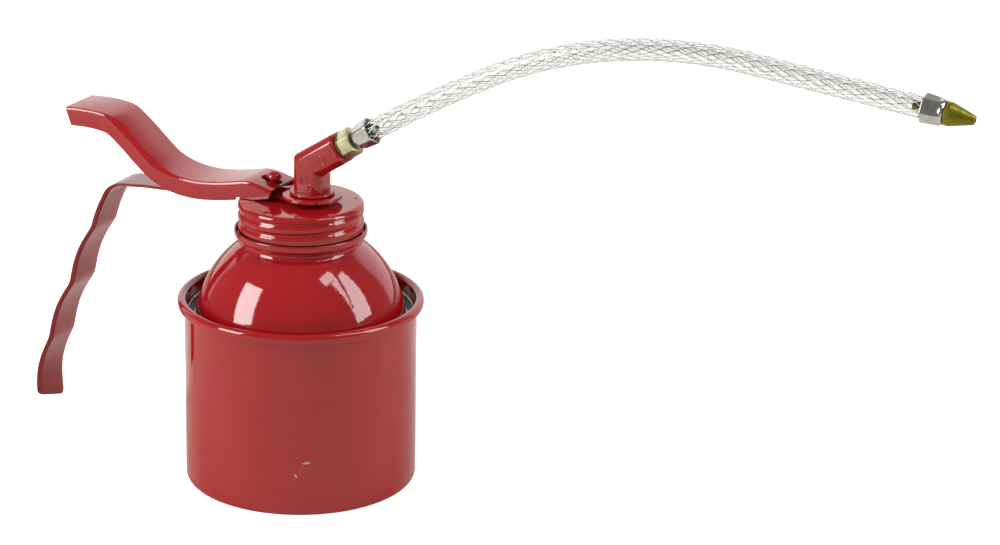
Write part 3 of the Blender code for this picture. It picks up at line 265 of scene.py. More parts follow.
class Palette:
    """Materials of the oil can, each made once and shared."""

    def __init__(self) -> None:
        """Make every material."""
        # Red stove enamel over sheet steel: glossy, with a slight orange peel and a few small knocks.
        enamel = Finish("#a1151b", "#9b1217", 0.0, (0.05, 0.08), (14.0, 1.8, 0.02))
        self.enamel = self._glossy("red_enamel", enamel).finish()
        self.cup_enamel = self._scuffed("red_enamel_cup", enamel, (
            Scuff((22.7, -37.7, 21.5), 2.5, 0.55, 31.0, -9.0),
            Scuff((19.3, -39.5, 16.5), 1.2, 0.55, 25.0, 48.0),
        ))
        # The same enamel on the dome, fading to near black down in the gutter: unpainted steel there, with
        # painted shade.
        self.dome_enamel = self._gutter("red_enamel_dome", enamel)
        # The same enamel on a die casting: softer gloss and a coarser skin.
        cast = Finish("#a1161c", "#971117", 0.0, (0.08, 0.16), (6.0, 0.9, 0.03))
        self.cast_enamel = self._glossy("red_enamel_cast", cast).finish()
        # Plain drawn steel of hidden and unpainted pieces.
        self.steel = self._plain("drawn_steel", "#8d8d8f", "#77787a", 1.0, (0.3, 0.42), (5.0, 0.3, 0.008), 9.0)
        # Bright nickel plate of the crimped ferrules.
        self.nickel = self._plain("nickel_plate", "#c4c4c0", "#a9a9a4", 1.0, (0.1, 0.22), (3.0, 0.7, 0.02))
        # Yellow chromated zinc plate of the hexagon, with its faint green tint.
        self.zinc = self._plain("yellow_zinc_plate", "#cfcaa8", "#b3ae84", 1.0, (0.3, 0.42), (2.5, 0.5, 0.015))
        # Turned brass of the nozzle and the pump, dulled to olive.
        self.brass = self._plain("turned_brass", "#857b1a", "#6d6410", 0.7, (0.36, 0.46), (2.0, 0.35, 0.015))
        # Bare zinc die casting of the pump block.
        self.casting = self._plain("zinc_die_casting", "#8d9195", "#767a7e", 1.0, (0.4, 0.55), (4.0, 0.6, 0.04))
        # Black nitrile rubber of the seals.
        self.rubber = self._plain("nitrile_rubber", "#1b1b1b", "#262524", 0.0, (0.55, 0.7), (3.0, 0.4, 0.02))
        # Brown sealing fibre.
        fibre = ("#7a5a3c", "#644628", 0.0, (0.75, 0.9), (1.5, 0.25, 0.03), 0.3)
        self.fibre = self._plain("sealing_fibre", *fibre)
        # Grey solder of the seam, a little lumpy.
        self.solder = self._plain("grey_solder", "#b9b7af", "#9a9890", 0.4, (0.35, 0.5), (3.0, 1.2, 0.06))
        # White polyester yarn of the braid, with painted shade: grey on the side that faces into the hose.
        yarn = Finish("#f4f4f2", "#e6e6e3", 0.0, (0.4, 0.55), (1.2, 0.12, 0.01))
        self.yarn = self._yarn("polyester_yarn", yarn)
        # Clear soft PVC of the hose, slightly milky.
        self.clear = self._clear("clear_pvc", Finish("#fafbfa", "#f5f6f5", 0.0, (0.03, 0.08), (9.0, 2.5, 0.02)))

    @staticmethod
    def _plain(name: str, *numbers: object) -> bpy.types.Material:
        """A material of one finish with nothing added, from the finish's numbers."""
        return Surface(name, Finish(*numbers)).finish()

    @staticmethod
    def _glossy(name: str, finish: Finish) -> Surface:
        """A surface with the gloss of enamel, still open to additions."""
        surface = Surface(name, finish)
        surface.shader.inputs["IOR"].default_value = ENAMEL_IOR
        return surface

    def _scuffed(self, name: str, finish: Finish, scuffs: Sequence[Scuff]) -> bpy.types.Material:
        """Enamel with a few small pale knocks.

        Args:
            name: Name of the material.
            finish: The enamel's numbers.
            scuffs: The knocks.

        Returns:
            The material.
        """
        surface = self._glossy(name, finish)
        ragged = surface.calc("MULTIPLY", surface.noise(0.9 * MM, 3.0), 1.5)
        inwards = 44.0
        for scuff in scuffs:
            centre, scale = mm(scuff.centre, (scuff.length, inwards, scuff.width))
            turns = (0.0, math.radians(scuff.tilt), math.radians(scuff.facing))
            place = add_node(surface.tree, "ShaderNodeMapping", {
                "Vector": surface.space, "Location": centre, "Rotation": turns, "Scale": scale,
            }, vector_type="TEXTURE")
            reach = add_node(surface.tree, "ShaderNodeVectorMath", {0: place.outputs[0]}, operation="LENGTH")
            edge = surface.calc("ADD", reach.outputs["Value"], ragged)
            for outer, inner, colour in ((1.75, 1.45, "#4a0d10"), (1.5, 1.3, "#c9a490")):
                share = ramp(surface.tree, edge, outer, inner)
                surface.colour = surface.mix(share, surface.colour, srgb(colour))
        return surface.finish()

    def _gutter(self, name: str, finish: Finish) -> bpy.types.Material:
        """Enamel that fades to near black outside the dome's foot: the gutter's unpainted steel, with painted
        shade.
        """
        surface = self._glossy(name, finish)
        parts = add_node(surface.tree, "ShaderNodeSeparateXYZ", {0: surface.space})
        squares = (surface.calc("POWER", parts.outputs[axis], 2.0) for axis in "XY")
        radius = surface.calc("SQRT", surface.calc("ADD", *squares))
        # Painted shade: the gutter's floor and skirt fade to near black beyond this radius.
        unpainted_and_shade = ramp(surface.tree, radius, 39.6 * MM, 40.2 * MM)
        surface.colour = surface.mix(unpainted_and_shade, surface.colour, srgb("#231819"))
        return surface.finish()

    @staticmethod
    def _yarn(name: str, finish: Finish) -> bpy.types.Material:
        """Yarn with painted shade: grey on its inner side, which faces into the hose."""
        surface = Surface(name, finish)
        inner_shade = add_node(surface.tree, "ShaderNodeAttribute", attribute_name=INNER_SHADE)
        share = ramp(surface.tree, inner_shade.outputs["Fac"], 0.35, 0.65)
        # Painted shade: grey on the yarn's inner side, where the attribute is high.
        surface.colour = surface.mix(share, surface.colour, srgb("#80807a"))
        return surface.finish()

    @staticmethod
    def _clear(name: str, finish: Finish) -> bpy.types.Material:
        """A clear plastic with a smooth gloss."""
        surface = Surface(name, finish)
        surface.shader.inputs["Transmission Weight"].default_value = 1.0
        surface.shader.inputs["IOR"].default_value = PVC_IOR
        return surface.finish()


# ---------------------------------------------------------------- shape helpers


def mm(*rows: Sequence[float]) -> list[tuple[float, ...]]:
    """Turn rows of millimetres into rows of metres."""
    return [tuple(value * MM for value in row) for row in rows]


def arc(centre: Point, radius: float, start: float, end: float, steps: int = 8) -> list[Point]:
    """Points of a round stretch in a plane, both ends included."""
    angles = (start + (end - start) * step / steps for step in range(steps + 1))
    return [(centre[0] + radius * math.cos(angle), centre[1] + radius * math.sin(angle)) for angle in angles]


def rounded(corners: Sequence[tuple[float, float, float]], steps: int = 4) -> list[Point]:
    """Round the corners of a closed outline.

    Args:
        corners: Each corner's place and its radius.
        steps: Steps along each rounded corner.

    Returns:
        The outline's points.
    """
    points: list[Point] = []
    for at, (across, high, radius) in enumerate(corners):
        corner = Vector((across, high))
        if radius <= 0.0:
            points.append((across, high))
            continue
        before = Vector(corners[at - 1][:2]) - corner
        after = Vector(corners[(at + 1) % len(corners)][:2]) - corner
        half_turn = before.angle(after) / 2
        reach = min(radius / math.tan(half_turn), 0.49 * before.length, 0.49 * after.length)
        start = corner + before.normalized() * reach
        end = corner + after.normalized() * reach
        for step in range(steps + 1):
            t = step / steps
            spot = start * (1 - t) ** 2 + corner * 2 * t * (1 - t) + end * t**2
            points.append((spot.x, spot.y))
    return points


def mapped(rows: int, columns: int, place: Place, capped: bool = False,
           inner_shade: Callable[[float], float] | None = None) -> bmesh.types.BMesh:
    """Lay an even grid over a surface.

    Args:
        rows: Steps of the first value.
        columns: Steps of the second value.
        place: Gives a point for two values from 0 to 1.
        capped: Whether open ends are filled.
        inner_shade: Gives the attribute of painted shade for the second value, if the shape needs one.

    Returns:
        The shape, with seams that meet merged.
    """
    shape = bmesh.new()
    bmesh.ops.create_grid(shape, x_segments=rows, y_segments=columns, size=0.5)
    layer = shape.verts.layers.float.new(INNER_SHADE) if inner_shade else None
    for vert in shape.verts:
        if inner_shade:
            vert[layer] = inner_shade(vert.co.y + 0.5)
        vert.co = place(vert.co.x + 0.5, vert.co.y + 0.5)
    bmesh.ops.remove_doubles(shape, verts=shape.verts, dist=MERGE)
    if capped:
        bmesh.ops.holes_fill(shape, edges=[edge for edge in shape.edges if edge.is_boundary])
    bmesh.ops.recalc_face_normals(shape, faces=shape.faces)
    return shape


def lathe(outline: Sequence[Point], around: int, lay: Matrix | None = None) -> bmesh.types.BMesh:
    """Spin a closed outline of radius and height once around +Z, then lay it in place."""
    shape = bmesh.new()
    rim = [shape.verts.new((radius, 0.0, height)) for radius, height in outline]
    edges = [shape.edges.new((rim[at - 1], rim[at])) for at in range(len(rim))]
    bmesh.ops.spin(
        shape, geom=rim + edges, cent=(0, 0, 0), axis=(0, 0, 1), angle=FULL, steps=around, use_merge=True,
    )
    bmesh.ops.remove_doubles(shape, verts=shape.verts, dist=MERGE)
    bmesh.ops.recalc_face_normals(shape, faces=shape.faces)
    if lay is not None:
        shape.transform(lay)
    return shape


def prism(radius: float, depth: float, sides: int, lay: Matrix) -> bmesh.types.BMesh:
    """A capped prism about +Z, laid in place from the origin."""
    shape = bmesh.new()
    bmesh.ops.create_cone(
        shape, cap_ends=True, segments=sides, radius1=radius, radius2=radius, depth=depth, matrix=lay,
    )
    return shape


def soften(shape: bmesh.types.BMesh, edges: Sequence[bmesh.types.BMEdge], reach: float, segments: int) -> None:
    """Round some edges of a shape."""
    bmesh.ops.bevel(
        shape, geom=edges, offset=reach, segments=segments, profile=0.5, affect="EDGES", material=-1,
    )


def swept(stations: Sequence[Station], section: Sequence[Point],
          reshape: Callable[[int, Point], Point] | None = None) -> bmesh.types.BMesh:
    """Carry a closed section along a line in the XZ plane.

    Args:
        stations: Each station's point, its unit normal in the XZ plane and a width factor.
        section: Points as places across (along Y) and out (along the normal).
        reshape: Changes a section point at a station, if given.

    Returns:
        The capped shape.
    """
    rows, columns = len(stations) - 1, len(section)

    def place(along: float, round_at: float) -> Vector:
        """Point of the swept skin."""
        at = round(along * rows)
        point, out, factor = stations[at]
        spot = section[round(round_at * columns) % columns]
        if reshape is not None:
            spot = reshape(at, spot)
        return point + out * spot[1] + Vector((0.0, spot[0] * factor, 0.0))

    return mapped(rows, columns, place, capped=True)


def smooth_line(points: Sequence[Point], steps: int) -> list[Vector]:
    """A smooth curve through points of the XZ plane, with even steps between them."""
    line: list[Vector] = []
    for at in range(len(points) - 1):
        before, start = Vector(points[max(at - 1, 0)]), Vector(points[at])
        end, after = Vector(points[at + 1]), Vector(points[min(at + 2, len(points) - 1)])
        for step in range(steps):
            t = step / steps
            line.append(
                start * (2 * t**3 - 3 * t**2 + 1) + (end - before) / 2 * (t**3 - 2 * t**2 + t)
                + end * (3 * t**2 - 2 * t**3) + (after - start) / 2 * (t**3 - t**2)
            )
    line.append(Vector(points[-1]))
    return line


def outward(line: Sequence[Vector]) -> list[Station]:
    """Stations of a plane line, each with its unit normal a quarter turn left of its way."""
    made = []
    for at, point in enumerate(line):
        way = line[min(at + 1, len(line) - 1)] - line[max(at - 1, 0)]
        out = Vector((-way.y, 0.0, way.x)).normalized()
        made.append((Vector((point.x, 0.0, point.y)), out, 1.0))
    return made


def as_mesh(name: str, shape: bmesh.types.BMesh) -> bpy.types.Mesh:
    """Turn a shape into a mesh, which uses the shape up."""
    mesh = bpy.data.meshes.new(name)
    shape.to_mesh(mesh)
    shape.free()
    return mesh


def placed(name: str, data: bpy.types.ID) -> bpy.types.Object:
    """Put data into the scene as an object."""
    made = bpy.data.objects.new(name, data)
    bpy.context.scene.collection.objects.link(made)
    return made


def tool(shape: bmesh.types.BMesh) -> bpy.types.Object:
    """A cutting shape as a loose object."""
    bmesh.ops.recalc_face_normals(shape, faces=shape.faces)
    return placed("tool", as_mesh("tool", shape))


def drill(radius: float, low: float, high: float, at: Point, steps: int = 48) -> bpy.types.Object:
    """A round cutting shape on +Z."""
    return tool(prism(radius, high - low, steps, Matrix.Translation((*at, (low + high) / 2))))


def block(low: Sequence[float], high: Sequence[float]) -> bpy.types.Object:
    """A box-shaped cutting shape between two corners."""
    shape = bmesh.new()
    low_corner, high_corner = Vector(low), Vector(high)
    size = high_corner - low_corner
    matrix = Matrix.Translation((low_corner + high_corner) / 2) @ Matrix.Diagonal((*size, 1.0))
    bmesh.ops.create_cube(shape, size=1.0, matrix=matrix)
    return tool(shape)


class Workshop:
    """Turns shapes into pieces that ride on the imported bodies."""

    def __init__(self, palette: Palette) -> None:
        """Keep the palette and start an empty list of pieces."""
        self.palette = palette
        self.pieces: list[bpy.types.Object] = []

    def loose(self, name: str, shape: bmesh.types.BMesh, paint: bpy.types.Material,
              cuts: Sequence[bpy.types.Object] = (), sharp: float = 32.0) -> bpy.types.Object:
        """Turn a shape into an object that rides on nothing yet.

        Args:
            name: Name of the piece.
            shape: Its shape, which is used up.
            paint: Its material.
            cuts: Cutting shapes, which are used up.
            sharp: Angle in degrees above which an edge stays sharp.

        Returns:
            The object.
        """
        made = placed(name, as_mesh(name, shape))
        for cut in cuts:
            change = made.modifiers.new(cut.name, "BOOLEAN")
            change.operation = "DIFFERENCE"
            change.solver = "EXACT"
            change.object = cut
        if cuts:
            bpy.context.view_layer.update()
            depsgraph = bpy.context.evaluated_depsgraph_get()
            made.data = bpy.data.meshes.new_from_object(made.evaluated_get(depsgraph))
            made.modifiers.clear()
            for cut in cuts:
                bpy.data.objects.remove(cut, do_unlink=True)
        made.data.name = name
        made.data.materials.clear()
        made.data.materials.append(paint)
        made.data.shade_smooth()
        made.data.set_sharp_from_angle(angle=math.radians(sharp))
        return made

    def add(self, name: str, shape: bmesh.types.BMesh, paint: bpy.types.Material, body: Body,
            replaces: Sequence[str] = (), cuts: Sequence[bpy.types.Object] = (),
            sharp: float = 32.0) -> bpy.types.Object:
        """Turn a shape into a piece that rides on a body.

        Args:
            name: Name of the piece.
            shape: Its shape, which is used up.
            paint: Its material.
            body: Body that it rides on.
            replaces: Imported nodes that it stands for.
            cuts: Cutting shapes, which are used up.
            sharp: Angle in degrees above which an edge stays sharp.

        Returns:
            The piece's object.
        """
        made = self.loose(name, shape, paint, cuts, sharp)
        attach(made, body.value)
        if replaces:
            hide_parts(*replaces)
        self.pieces.append(made)
        return made

    def dress(self, node: str, paint: bpy.types.Material) -> None:
        """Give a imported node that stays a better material."""
        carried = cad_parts[node]
        carried.data.materials.clear()
        carried.data.materials.append(paint)


# ---------------------------------------------------------------- vessel


@dataclass(frozen=True)
class Thread:
    """The rolled thread of cap and neck.

    Attributes:
        start: Height that the thread's phase is counted from.
        pitch: Rise of one turn.
        depth: Depth of its groove.
        lead: Angle by which its grooves lie higher.
    """

    start: float = 99.65 * MM
    pitch: float = 4.4 * MM
    depth: float = 0.8 * MM
    lead: float = 2.8

    def groove(self, height: float, turn: float) -> float:
        """Depth of the groove at a height and an angle."""
        phase = FULL * (height - self.start) / self.pitch - turn - self.lead
        return self.depth * ((1 - math.cos(phase)) / 2) ** 2

    def roll(self, shape: bmesh.types.BMesh, low: float, high: float, least: float, fades: Point) -> None:
        """Roll the thread into a turned shape.

        Args:
            shape: The shape to change.
            low: Height where the thread starts.
            high: Height where it ends.
            least: Radius inside which nothing changes.
            fades: Heights over which it grows in at the bottom and fades at the top.
        """
        for vert in shape.verts:
            radius = math.hypot(vert.co.x, vert.co.y)
            if radius < least or not low <= vert.co.z <= high:
                continue
            grown = min(1.0, (vert.co.z - low) / fades[0]) if fades[0] else 1.0
            faded = min(1.0, (high - vert.co.z) / fades[1]) if fades[1] else 1.0
            depth = self.groove(vert.co.z, math.atan2(vert.co.y, vert.co.x)) * grown * faded
            vert.co.x *= (radius - depth) / radius
            vert.co.y *= (radius - depth) / radius


@dataclass
class Vessel:
    """The cup, the dome with its gutter and lip, the solder seam and the threaded neck.

    Attributes:
        radius: Cup's outside radius.
        height: Cup's height to the top of its rim.
        wall: Thickness of the sheet.
        bead: Width and height of the rolled rim.
        gutter_z: Height of the gutter's floor.
        dome_centre: Height of the dome's centre.
        dome_radius: Radius of the dome.
        throat: Radius of the dome's throat.
        lip: Outside radius, underside height and top height of the upturned lip.
        thread: The neck's thread.
    """

    radius: float = 44.0 * MM
    height: float = 72.6 * MM
    wall: float = 0.8 * MM
    bead: Point = (3.4 * MM, 4.2 * MM)
    gutter_z: float = 66.4 * MM
    dome_centre: float = 60.4 * MM
    dome_radius: float = 40.2 * MM
    throat: float = 22.6 * MM
    lip: tuple[float, float, float] = (25.1 * MM, 96.0 * MM, 99.5 * MM)
    thread: Thread = field(default_factory=Thread)

    def build(self, shop: Workshop) -> None:
        """Build the vessel's pieces."""
        self._cup(shop)
        self._dome(shop)
        self._neck(shop)

    def _cup(self, shop: Workshop) -> None:
        """The drawn cup with its rim rolled outwards."""
        bore = self.radius - self.wall
        half = self.bead[0] / 2
        top, foot = self.height - half, self.height - self.bead[1] + half
        centre = bore + half
        corner, inside = 2.0 * MM, 1.2 * MM
        outline = [(0.0, 0.0)]
        outline += arc((self.radius - corner, corner), corner, -QUARTER, 0.0, 10)
        outline += [(self.radius, foot - half - 0.5 * MM), (self.radius + 0.1 * MM, foot - half)]
        outline += arc((centre, foot), half, -0.62, 0.0, 8)
        outline += arc((centre, top), half, 0.0, 2 * QUARTER, 18)
        outline += list(reversed(arc((bore - inside, corner), inside, -QUARTER, 0.0, 6)))
        outline += [(0.0, self.wall)]
        shop.add("cup_shell", lathe(outline, 192), shop.palette.cup_enamel, Body.CAN, ["base_cup"])

    def _line(self, offset: float) -> list[Point]:
        """The dome's line from skirt to lip, moved inwards by an offset."""
        seat = self.radius - self.wall - GAP - offset
        radius, throat = self.dome_radius - offset, self.throat - offset
        foot = math.asin((self.gutter_z - offset - self.dome_centre) / radius)
        fillet = 2.2 * MM + offset
        across = throat + fillet
        rise = math.sqrt((radius + fillet) ** 2 - across**2)
        top = math.atan2(rise, across)
        corner = 0.8 * MM
        line = [(seat, self.gutter_z - 5.0 * MM)]
        line += arc((seat - corner, self.gutter_z - offset - corner), corner, 0.0, QUARTER, 5)
        line += arc((0.0, self.dome_centre), radius, foot, top, 48)
        line += arc((across, self.dome_centre + rise), fillet, top + 2 * QUARTER, 2 * QUARTER, 8)
        lip, under, _ = self.lip
        bend = 1.9 * MM
        line += arc((lip - bend, under + bend), bend - offset, -QUARTER, 0.0, 10)
        return line

    def _dome(self, shop: Workshop) -> None:
        """The drawn dome, its gutter, its lip and the bead of solder."""
        lip, _, lip_top = self.lip
        outline = self._line(0.0)
        outline += arc((lip - self.wall / 2, lip_top - self.wall / 2), self.wall / 2, 0.0, 2 * QUARTER, 6)
        outline += list(reversed(self._line(self.wall)))
        shop.add("dome_shell", lathe(outline, 192), shop.palette.dome_enamel, Body.CAN, ["dome_shoulder"])
        outer = self.radius - self.wall - GAP
        low = self.gutter_z + GAP
        leg, hollow = 0.7 * MM, 0.3 * MM
        corner = (outer - hollow, low + hollow, hollow)
        fillet = rounded([(outer, low, 0.0), (outer, low + leg, 0.0), corner, (outer - leg, low, 0.0)])
        shop.add("solder_bead", lathe(fillet, 160), shop.palette.solder, Body.CAN, ["seam_solder"])

    def _neck(self, shop: Workshop) -> None:
        """The rolled neck that carries the cap."""
        bore, skirt, crest, flange = 20.7 * MM, 21.5 * MM, 22.2 * MM, 23.4 * MM
        foot, flange_z, lead, top = 94.05 * MM, 98.55 * MM, 105.95 * MM, 107.15 * MM
        low = flange_z + self.wall
        heights = [low + (lead - low) * step / 48 for step in range(49)]
        outline = [(bore, foot), (skirt, foot), (skirt, flange_z), (flange, flange_z), (flange, low)]
        outline += [(crest, height) for height in heights]
        outline += [(crest - self.thread.depth, lead + 0.6 * MM), (crest - self.thread.depth, top), (bore, top)]
        shape = lathe(outline, 144)
        self.thread.roll(shape, low + 0.1 * MM, lead, 21.8 * MM, (0.0, 0.0))
        shop.add("neck_thread", shape, shop.palette.steel, Body.CAN, ["threaded_neck"])


# ---------------------------------------------------------------- head


@dataclass
class Head:
    """The screw cap, the grip strap, the clamp washer and the cast elbow.

    Attributes:
        cap_radius: Cap's outside radius.
        cap_low: Height of the cap's lower edge.
        cap_top: Height of the cap's top.
        riser: Distance of the riser's axis from the can's axis, towards the spout.
        pump: Distance of the pump's axis from the can's axis, towards the lever.
        crossing: Height where the elbow's two axes cross.
        arm: Length of the elbow's arm.
        lean: Angle of the arm above the horizon.
        eye: Radius of the holes for the riser.
        tail_skew: How far each corner of the strap's tail is cut askew.
        thread: The cap's thread.
    """

    cap_radius: float = 23.7 * MM
    cap_low: float = 99.65 * MM
    cap_top: float = CAP_TOP
    riser: float = 4.8 * MM
    pump: float = 11.3 * MM
    crossing: float = 125.05 * MM
    arm: float = 15.3 * MM
    lean: float = math.radians(33.0)
    eye: float = 4.5 * MM
    tail_skew: float = 2.6 * MM
    thread: Thread = field(default_factory=Thread)

    def build(self, shop: Workshop) -> None:
        """Build the head's outside pieces."""
        self._cap(shop)
        self._strap(shop)
        self._washer(shop)
        self._elbow(shop)

    def _cap(self, shop: Workshop) -> None:
        """The cap with its rolled thread, vent hole and the holes for rod and riser."""
        wall, corner = 0.9 * MM, 1.7 * MM
        thread_top = self.cap_top - corner
        heights = [self.cap_low + (thread_top - self.cap_low) * step / 60 for step in range(61)]
        inner = self.cap_radius - wall
        outline = [(inner, height) for height in reversed(heights)]
        outline += [(self.cap_radius, height) for height in heights]
        outline += arc((self.cap_radius - corner, self.cap_top - corner), corner, 0.0, QUARTER, 12)
        outline += [(0.0, self.cap_top), (0.0, self.cap_top - wall)]
        outline += list(reversed(arc((inner - 0.8 * MM, self.cap_top - corner), 0.8 * MM, 0.0, QUARTER, 6)))
        shape = lathe(outline, 200)
        fades = (self.thread.pitch / 2, self.thread.pitch / 8)
        self.thread.roll(shape, self.cap_low, thread_top, inner - wall / 2, fades)
        below, above = self.cap_top - 2 * wall, self.cap_top + wall
        turn, vent = math.radians(33.0), 20.74 * MM
        cuts = [
            drill(0.5 * MM, below, above, (vent * math.cos(turn), vent * math.sin(turn)), 24),
            drill(3.6 * MM, below, above, (-self.pump, 0.0)),
            drill(self.eye, below, above, (self.riser, 0.0)),
        ]
        shop.add("cap_shell", shape, shop.palette.enamel, Body.HEAD, ["screw_cap"], cuts)

    def _strap_stations(self) -> list[Station]:
        """Stations of the strap's middle line from its eye to its tail, with half widths."""
        middle = self.cap_top + GAP + 0.7 * MM
        tongue_half, hand_half = 6.8 * MM, 8.5 * MM
        reach, step_down, taper = 73.3 * MM, 3.6 * MM, 64.0 * MM
        plane: list[tuple[Vector, float]] = []
        for step in range(1, 17):
            angle = QUARTER * step / 16
            spot = Vector((self.riser + tongue_half * math.cos(angle), middle))
            plane.append((spot, tongue_half * math.sin(angle)))
        shares = ((0.0, 0.0), (0.33, 0.0), (0.50, 0.80), (0.70, 1.0), (1.0, 1.22))
        tongue = [(-reach * out, middle - step_down * down) for out, down in shares]
        for point in smooth_line(tongue, 14)[1:]:
            share = max(0.0, (-taper - point.x) / (reach - taper))
            share = share * share * (3 - 2 * share)
            plane.append((point, tongue_half + (hand_half - tongue_half) * share))
        first, lean, last = math.radians(22.0), math.radians(22.9), math.radians(10.2)
        start, bend = plane[-1][0], 9.0 * MM
        for step in range(1, 25):
            angle = (QUARTER - first) * step / 24
            plane.append((start + bend * Vector((-math.sin(angle), math.cos(angle) - 1)), hand_half))
        finger = (26.4 * MM, lean, 1.8 * MM, 1.0)
        bays = [(14.9 * MM, first, 0.45 * MM, 1.0), finger, finger, (31.0 * MM, last, 3.1 * MM, 0.845)]
        for run, tilt, depth, cut in bays:
            start = plane[-1][0]
            way = Vector((-math.sin(tilt), -math.cos(tilt)))
            out = Vector((-math.cos(tilt), math.sin(tilt)))
            for step in range(1, 25):
                share = cut * step / 24
                plane.append((start + way * run * share + out * depth * math.sin(math.pi * share), hand_half))
        way = (plane[-1][0] - plane[-2][0]).normalized()
        start, corner = plane[-1][0], 2.3 * MM
        for step in range(1, 13):
            angle = QUARTER * step / 12
            plane.append((start + way * corner * math.sin(angle), hand_half - corner * (1 - math.cos(angle))))
        line = [spot for spot, _ in plane]
        for _ in range(3):
            line[1:-1] = [(line[at - 1] + line[at] * 2 + line[at + 1]) / 4 for at in range(1, len(line) - 1)]
        return [(point, out, width) for (point, out, _), (_, width) in zip(outward(line), plane)]

    def _strap(self, shop: Workshop) -> None:
        """The pressed grip strap with its rounded sheet edges."""
        half = 0.7 * MM
        stations = self._strap_stations()
        across = 10
        section = [(-1.0 + 2.0 * at / across, -half) for at in range(across)]
        section += [(1.0 - 2.0 * at / across, half) for at in range(across)]
        shape = swept(stations, section)
        tail, fade = stations[-1][0], 9.0 * MM
        way = (tail - stations[-14][0]).normalized()
        for vert in shape.verts:
            share = max(0.0, 1.0 + (vert.co - tail).dot(way) / fade)
            vert.co += way * self.tail_skew * min(share, 1.0) * vert.co.y / stations[-20][2]
        steep = math.radians(60)
        soften(shape, [
            edge for edge in shape.edges if len(edge.link_faces) == 2 and edge.calc_face_angle(0.0) > steep
        ], 0.35 * MM, 2)
        below, above = self.cap_top + 0.1 * MM, self.cap_top + 2.6 * MM
        cuts = [
            drill(self.eye, below, above, (self.riser, 0.0)), drill(1.9 * MM, below, above, (-self.pump, 0.0)),
        ]
        shop.add("strap_sheet", shape, shop.palette.enamel, Body.HEAD, ["grip_strap"], cuts)

    def _washer(self, shop: Workshop) -> None:
        """The thick washer, with the small notch in its rim."""
        low, high = 112.05, 113.35
        outline = rounded(mm((4.5, low, 0.1), (11.4, low, 0.3), (11.4, high, 0.4), (4.5, high, 0.1)))
        shape = lathe(outline, 120, Matrix.Translation((self.riser, 0.0, 0.0)))
        turn = math.radians(-53.0)
        rim = 11.7 * MM
        notch = (self.riser + rim * math.cos(turn), rim * math.sin(turn))
        cuts = [drill(1.2 * MM, (low - 1.0) * MM, (high - 0.45) * MM, notch, 24)]
        shop.add("washer_disc", shape, shop.palette.enamel, Body.HEAD, ["clamp_washer"], cuts)

    def _elbow(self, shop: Workshop) -> None:
        """The cast elbow: an octagonal bend on a turned foot, with three plain ejector marks."""
        half, chamfer = 6.0 * MM, 2.3 * MM
        flat = half - chamfer
        quarter = [(half, -flat), (half, flat), (flat, half), (-flat, half)]
        corners = quarter + [(-right, -across) for right, across in quarter]
        centre = Vector((self.riser, 0.0, self.crossing))
        way = Vector((math.cos(self.lean), 0.0, math.sin(self.lean)))
        side = Vector((math.sin(self.lean), 0.0, -math.cos(self.lean)))
        mitre = (Vector((1.0, 0.0, 0.0)) + side) / (1 + math.sin(self.lean))
        foot = Vector((self.riser, 0.0, 114.2 * MM))
        rows = [(foot, Vector((1.0, 0.0, 0.0))), (centre, mitre), (centre + way * self.arm, side)]

        def place(along: float, round_at: float) -> Vector:
            """Point of the cast skin, before its edges are rounded."""
            point, right = rows[round(along * 2)]
            out, across = corners[round(round_at * 8) % 8]
            return point + right * out + Vector((0.0, across, 0.0))

        shape = mapped(2, 8, place, capped=True)
        steep = math.radians(15)
        soften(shape, [edge for edge in shape.edges if edge.calc_face_angle(0.0) > steep], 0.9 * MM, 5)
        end = Matrix.Translation(centre + way * self.arm) @ Matrix.Rotation(QUARTER - self.lean, 4, "Y")
        bore = tool(prism(3.7 * MM, 12.0 * MM, 48, end))
        shop.add("elbow_casting", shape, shop.palette.cast_enamel, Body.HEAD, ["spout_elbow"], [bore], 24.0)
        low, high, top = 103.85, 113.65, 114.75
        outline = rounded(mm(
            (2.0, low, 0.0), (4.2, low, 0.2), (4.2, high, 0.0),
            (8.5, high, 0.3), (8.5, top, 0.4), (2.0, top, 0.0),
        ))
        turned = lathe(outline, 96, Matrix.Translation((self.riser, 0.0, 0.0)))
        shop.add("elbow_foot", turned, shop.palette.cast_enamel, Body.HEAD)
        for name, spot, radius in (
            ("elbow_mark_upper", (11.9, 128.8), 1.5), ("elbow_mark_lower", (4.7, 120.0), 1.6),
            ("elbow_mark_small", (7.4, 117.8), 0.7),
        ):
            lay = Matrix.Translation((spot[0] * MM, -half, spot[1] * MM)) @ Matrix.Rotation(QUARTER, 4, "X")
            rim = lathe(arc((radius * MM, 0.0), 0.16 * MM, 0.0, FULL, 8)[:-1], 40, lay)
            shop.add(name, rim, shop.palette.cast_enamel, Body.HEAD)


# ---------------------------------------------------------------- lever and rod


